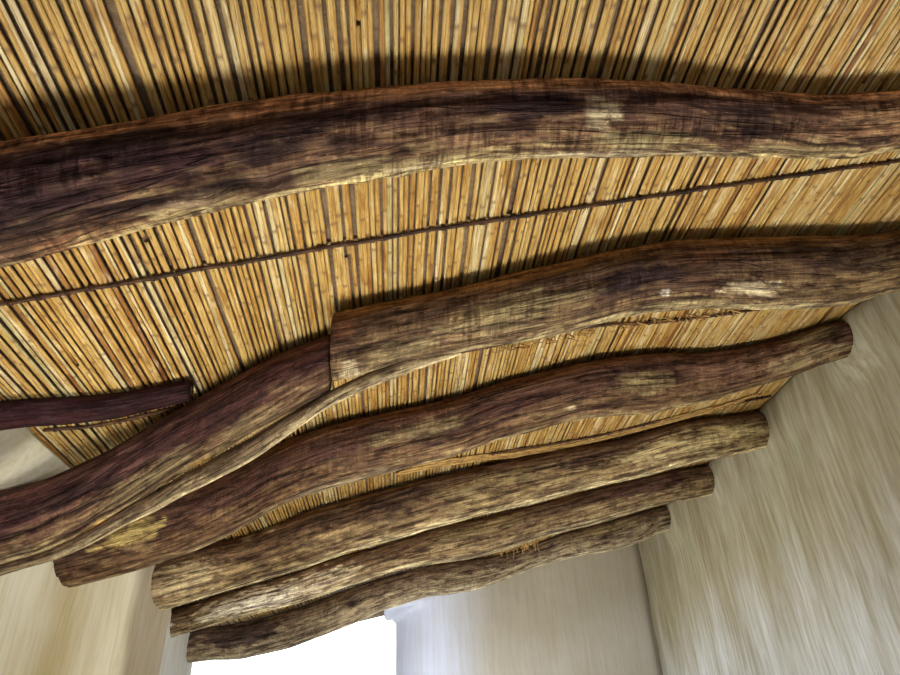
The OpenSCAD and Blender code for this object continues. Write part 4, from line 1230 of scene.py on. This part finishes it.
def tile_fields():
    gen = np.random.default_rng(77)
    pitch_y, run = 0.2160, 0.330
    cols = 25
    y_first = -2.700 + 0.5 * (5.4 - pitch_y * (cols - 1)) - 0.0
    fields = {"tiles_near": [], "tiles_middle": [], "tiles_back": []}
    x_low, x_high = -2.096, 1.895
    slope_len = (x_high - x_low) / LEAN
    courses = int(math.ceil((slope_len - 0.40) / run)) + 1
    ca, sa = math.cos(PITCH), math.sin(PITCH)

    def add(y, s0, t, kind, length, r0, r1, field, jitter=0.004):
        co, q = barrel(length, r0, r1, 0.012, 1.42 if kind == "cover" else 1.25)
        if kind == "pan":
            co[:, 2] *= -1
            q = q[:, ::-1]
            co[:, 2] += r0
        yaw = gen.normal(0, 0.012)
        co[:, 0], co[:, 1] = co[:, 0] - co[:, 1] * yaw, co[:, 1] + co[:, 0] * yaw
        lift = np.linspace(0.016, 0.0, 2)
        w = co[:, 0] / length
        co[:, 2] += 0.014 * (1 - w)
        co[:, 0] += s0 + gen.normal(0, jitter)
        co[:, 1] += y + gen.normal(0, jitter * 0.8)
        co[:, 2] += t
        co[:, 0] = np.clip(co[:, 0], 0.0, slope_len)
        out = np.empty_like(co)
        out[:, 0] = x_low + co[:, 0] * ca - co[:, 2] * sa
        out[:, 2] = soffit(x_low) + co[:, 0] * sa + co[:, 2] * ca
        out[:, 1] = np.clip(co[:, 1], -2.74, 2.74)
        out[:, 0] = np.clip(out[:, 0], -2.125, 1.93)
        fields[field].append((out, q, None, {"tint": np.full(len(out), gen.random())}))

    for c in range(cols):
        y = y_first + c * pitch_y
        field = "tiles_near" if y < -0.9 else ("tiles_middle" if y < 0.9 else "tiles_back")
        for k in range(courses):
            s0 = k * run
            length = min(0.40, slope_len - s0)
            if length < 0.06:
                continue
            add(y, s0, 0.0775, "pan", length, 0.098, 0.084, field)
    for c in range(cols + 1):
        y = y_first + (c - 0.5) * pitch_y
        y = min(max(y, -2.635), 2.635)
        field = "tiles_near" if y < -0.9 else ("tiles_middle" if y < 0.9 else "tiles_back")
        for k in range(courses):
            s0 = k * run + (0.0 if k else -0.0)
            length = min(0.40, slope_len - s0)
            if length < 0.06:
                continue
            add(y, s0, 0.0700, "cover", length, 0.074, 0.062, field)
    # mortar bed below the tiles, closing the gaps
    for name, ya, yb in (("tiles_near", -2.69, -0.9), ("tiles_middle", -0.9, 0.9), ("tiles_back", 0.9, 2.69)):
        co, q = slab(-2.085, 1.90, ya, yb, 0.0762, 0.098, 0.09, 60, False, False)
        fields[name].append((co, q, None, {"tint": np.full(len(co), 0.97)}))
    for name, parts in fields.items():
        co, q, t, a = join_parts(parts)
        place(build(name + "_laid", co, q, t, a), TILE, "clay_tile", name)


tile_fields()


def top_edge():
    gen = np.random.default_rng(88)
    parts = []
    y = -2.695
    z0 = soffit(2.0) + 0.076 / LEAN + 0.020
    while y < 2.62:
        length = min(0.42, 2.695 - y)
        co, q = barrel(length, 0.099, 0.088, 0.013, 1.60, 3, 12)
        out = np.empty_like(co)
        out[:, 0] = 2.0 + co[:, 1] + gen.normal(0, 0.002)
        out[:, 1] = y + co[:, 0]
        out[:, 2] = z0 + co[:, 2] + 0.004 * (1 - co[:, 0] / length) - 0.003
        out[:, 0] = np.clip(out[:, 0], 1.895, 2.105)
        parts.append((out, q[:, ::-1], None, {"tint": np.full(len(out), gen.random())}))
        y += 0.345
    # mortar core under the row
    n, ns = 70, 16
    yy = np.linspace(-2.685, 2.685, n)
    A = np.linspace(0, 2 * np.pi, ns, endpoint=False)
    S, Q = np.meshgrid(yy, A, indexing="ij")
    rr = 0.080 * (1 + 0.05 * fbm(np.stack([S.ravel() * 7, np.cos(Q).ravel(), np.sin(Q).ravel()], 1), 89, 3).reshape(n, ns))
    zc = z0 + rr * np.sin(Q)
    xc = 2.0 + rr * np.cos(Q)
    zc = np.maximum(zc, soffit(xc) + 0.078 / LEAN)
    co = np.stack([xc, S, zc], -1).reshape(-1, 3)
    co = np.concatenate([co, [[2.0, yy[0], z0 + 0.02], [2.0, yy[-1], z0 + 0.02]]])
    tris = np.concatenate([cap_faces(0, ns, n * ns, False), cap_faces((n - 1) * ns, ns, n * ns + 1, True)])
    parts.append((co, tube_faces(n, ns), tris, {"tint": np.full(len(co), 0.97)}))
    co, q, t, a = join_parts([(c, qq, tt if tt is not None else np.zeros((0, 3), int), aa) for c, qq, tt, aa in parts])
    place(build("top_edge_tiles_laid", co, q, t, a), TILE, "clay_tile", "top_edge_tiles")


top_edge()

# ---------------------------------------------------------------- floor and light
floor_mesh = bpy.data.meshes.new("floor")
floor_mesh.from_pydata([(-14, -14, 0), (14, -14, 0), (14, 14, 0), (-14, 14, 0)], [], [(0, 1, 2, 3)])
floor = bpy.data.objects.new("floor", floor_mesh)
scene.collection.objects.link(floor)
fm = Mat("floor")
fpos = fm.position()
fm.finish(fm.ramp(fm.noise(fpos, 3, 2, 0.5), [(0.3, (0.60, 0.59, 0.57)), (0.7, (0.64, 0.63, 0.61))]), 0.9, None, 0.1)
floor_mesh.materials.append(fm.mat)

world = bpy.data.worlds.new("world")
scene.world = world
world.use_nodes = True
bg = world.node_tree.nodes["Background"]
bg.inputs[0].default_value = (0.95, 0.97, 1.0, 1)
# the studio's ceiling is bright and its walls are dim
wt = world.node_tree
direction = wt.nodes.new("ShaderNodeTexCoord").outputs["Generated"]
split_xyz = wt.nodes.new("ShaderNodeSeparateXYZ")
wt.links.new(direction, split_xyz.inputs[0])
dome = wt.nodes.new("ShaderNodeMapRange")
dome.interpolation_type = "SMOOTHSTEP"
for i, v in ((1, 0.05), (2, 0.65), (3, 0.10), (4, 0.85)):
    dome.inputs[i].default_value = v
wt.links.new(split_xyz.outputs[2], dome.inputs[0])
wt.links.new(dome.outputs[0], bg.inputs[1])


def area(name, loc, aim, size, energy, colour, spread=180, seen=False):
    """An area light at loc that faces along aim."""
    l = bpy.data.lights.new(name, "AREA")
    l.shape = "RECTANGLE"
    l.size, l.size_y = size
    l.energy = energy
    l.color = colour
    l.spread = math.radians(spread)
    o = bpy.data.objects.new(name, l)
    scene.collection.objects.link(o)
    o.location = loc
    o.rotation_euler = Vector(aim).to_track_quat("-Z", "Y").to_euler()
    o.visible_camera = seen
    return o


# daylight past the opening
area("daylight", (-1.1, 4.6, 1.0), (0, -1, 0), (3.4, 2.2), 66, (0.95, 0.98, 1.0), 180, True)
# the main light comes up as if from one soft patch below the near part of the room
PATCH_Y, PATCH_Z, THROW = -1.56, -0.43, 3.15
for k in range(12):
    line = -2.33 + 0.385 * k
    start = PATCH_Y + (line - PATCH_Y) * (0.09 - PATCH_Z) / (DECK - PATCH_Z)
    share = 0.82 if line < -1.8 else 1.08 if line < -0.9 else max(0.50, 1.0 - 0.50 * (line + 0.9))
    area("floor_bounce_%d" % k, (0.0, start, 0.09), (0.0, line - PATCH_Y, DECK - PATCH_Z), (2.66, 0.11), THROW * share,
         (1.0, 0.965, 0.90), 58)
# light on the two side walls, the back wall and the undersides of the far logs
area("low_wall_wash", (1.30, -0.2, 0.30), (-1, 0.1, 0.25), (3.2, 0.5), 6.9, (1.0, 0.985, 0.95), 66)
area("high_wall_wash", (-1.15, 0.6, 0.25), (1, -0.05, 0.26), (3.0, 0.4), 13, (0.93, 0.965, 1.0), 76)
area("back_wash", (-0.30, 0.70, 0.10), (0.25, 1, 0.42), (1.6, 0.4), 7.6, (0.94, 0.965, 1.0), 100)
area("far_left_wash", (0.90, 0.60, 0.15), (-1.95, 0.75, 0.85), (0.5, 0.5), 2.6, (1.0, 0.99, 0.96), 44)
area("far_floor", (0.2, 2.0, 0.15), (0, -0.75, 1), (2.4, 0.3), 3.0, (0.95, 0.98, 1.0), 80)
area("corner_wash", (0.1, -2.5, 0.12), (-1.55, 1.65, 0.83), (0.3, 0.3), 0.6, (1.0, 0.985, 0.95), 26)

scene.view_settings.view_transform = "Standard"

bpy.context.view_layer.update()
tri = {}
for o in scene.objects:
    if o.type == "MESH" and "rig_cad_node" not in o.keys():
        o.data.calc_loop_triangles()
        tri[o.name] = len(o.data.loop_triangles)
print("TRIANGLES", sum(tri.values()), sorted(tri.items(), key=lambda kv: -kv[1])[:12])
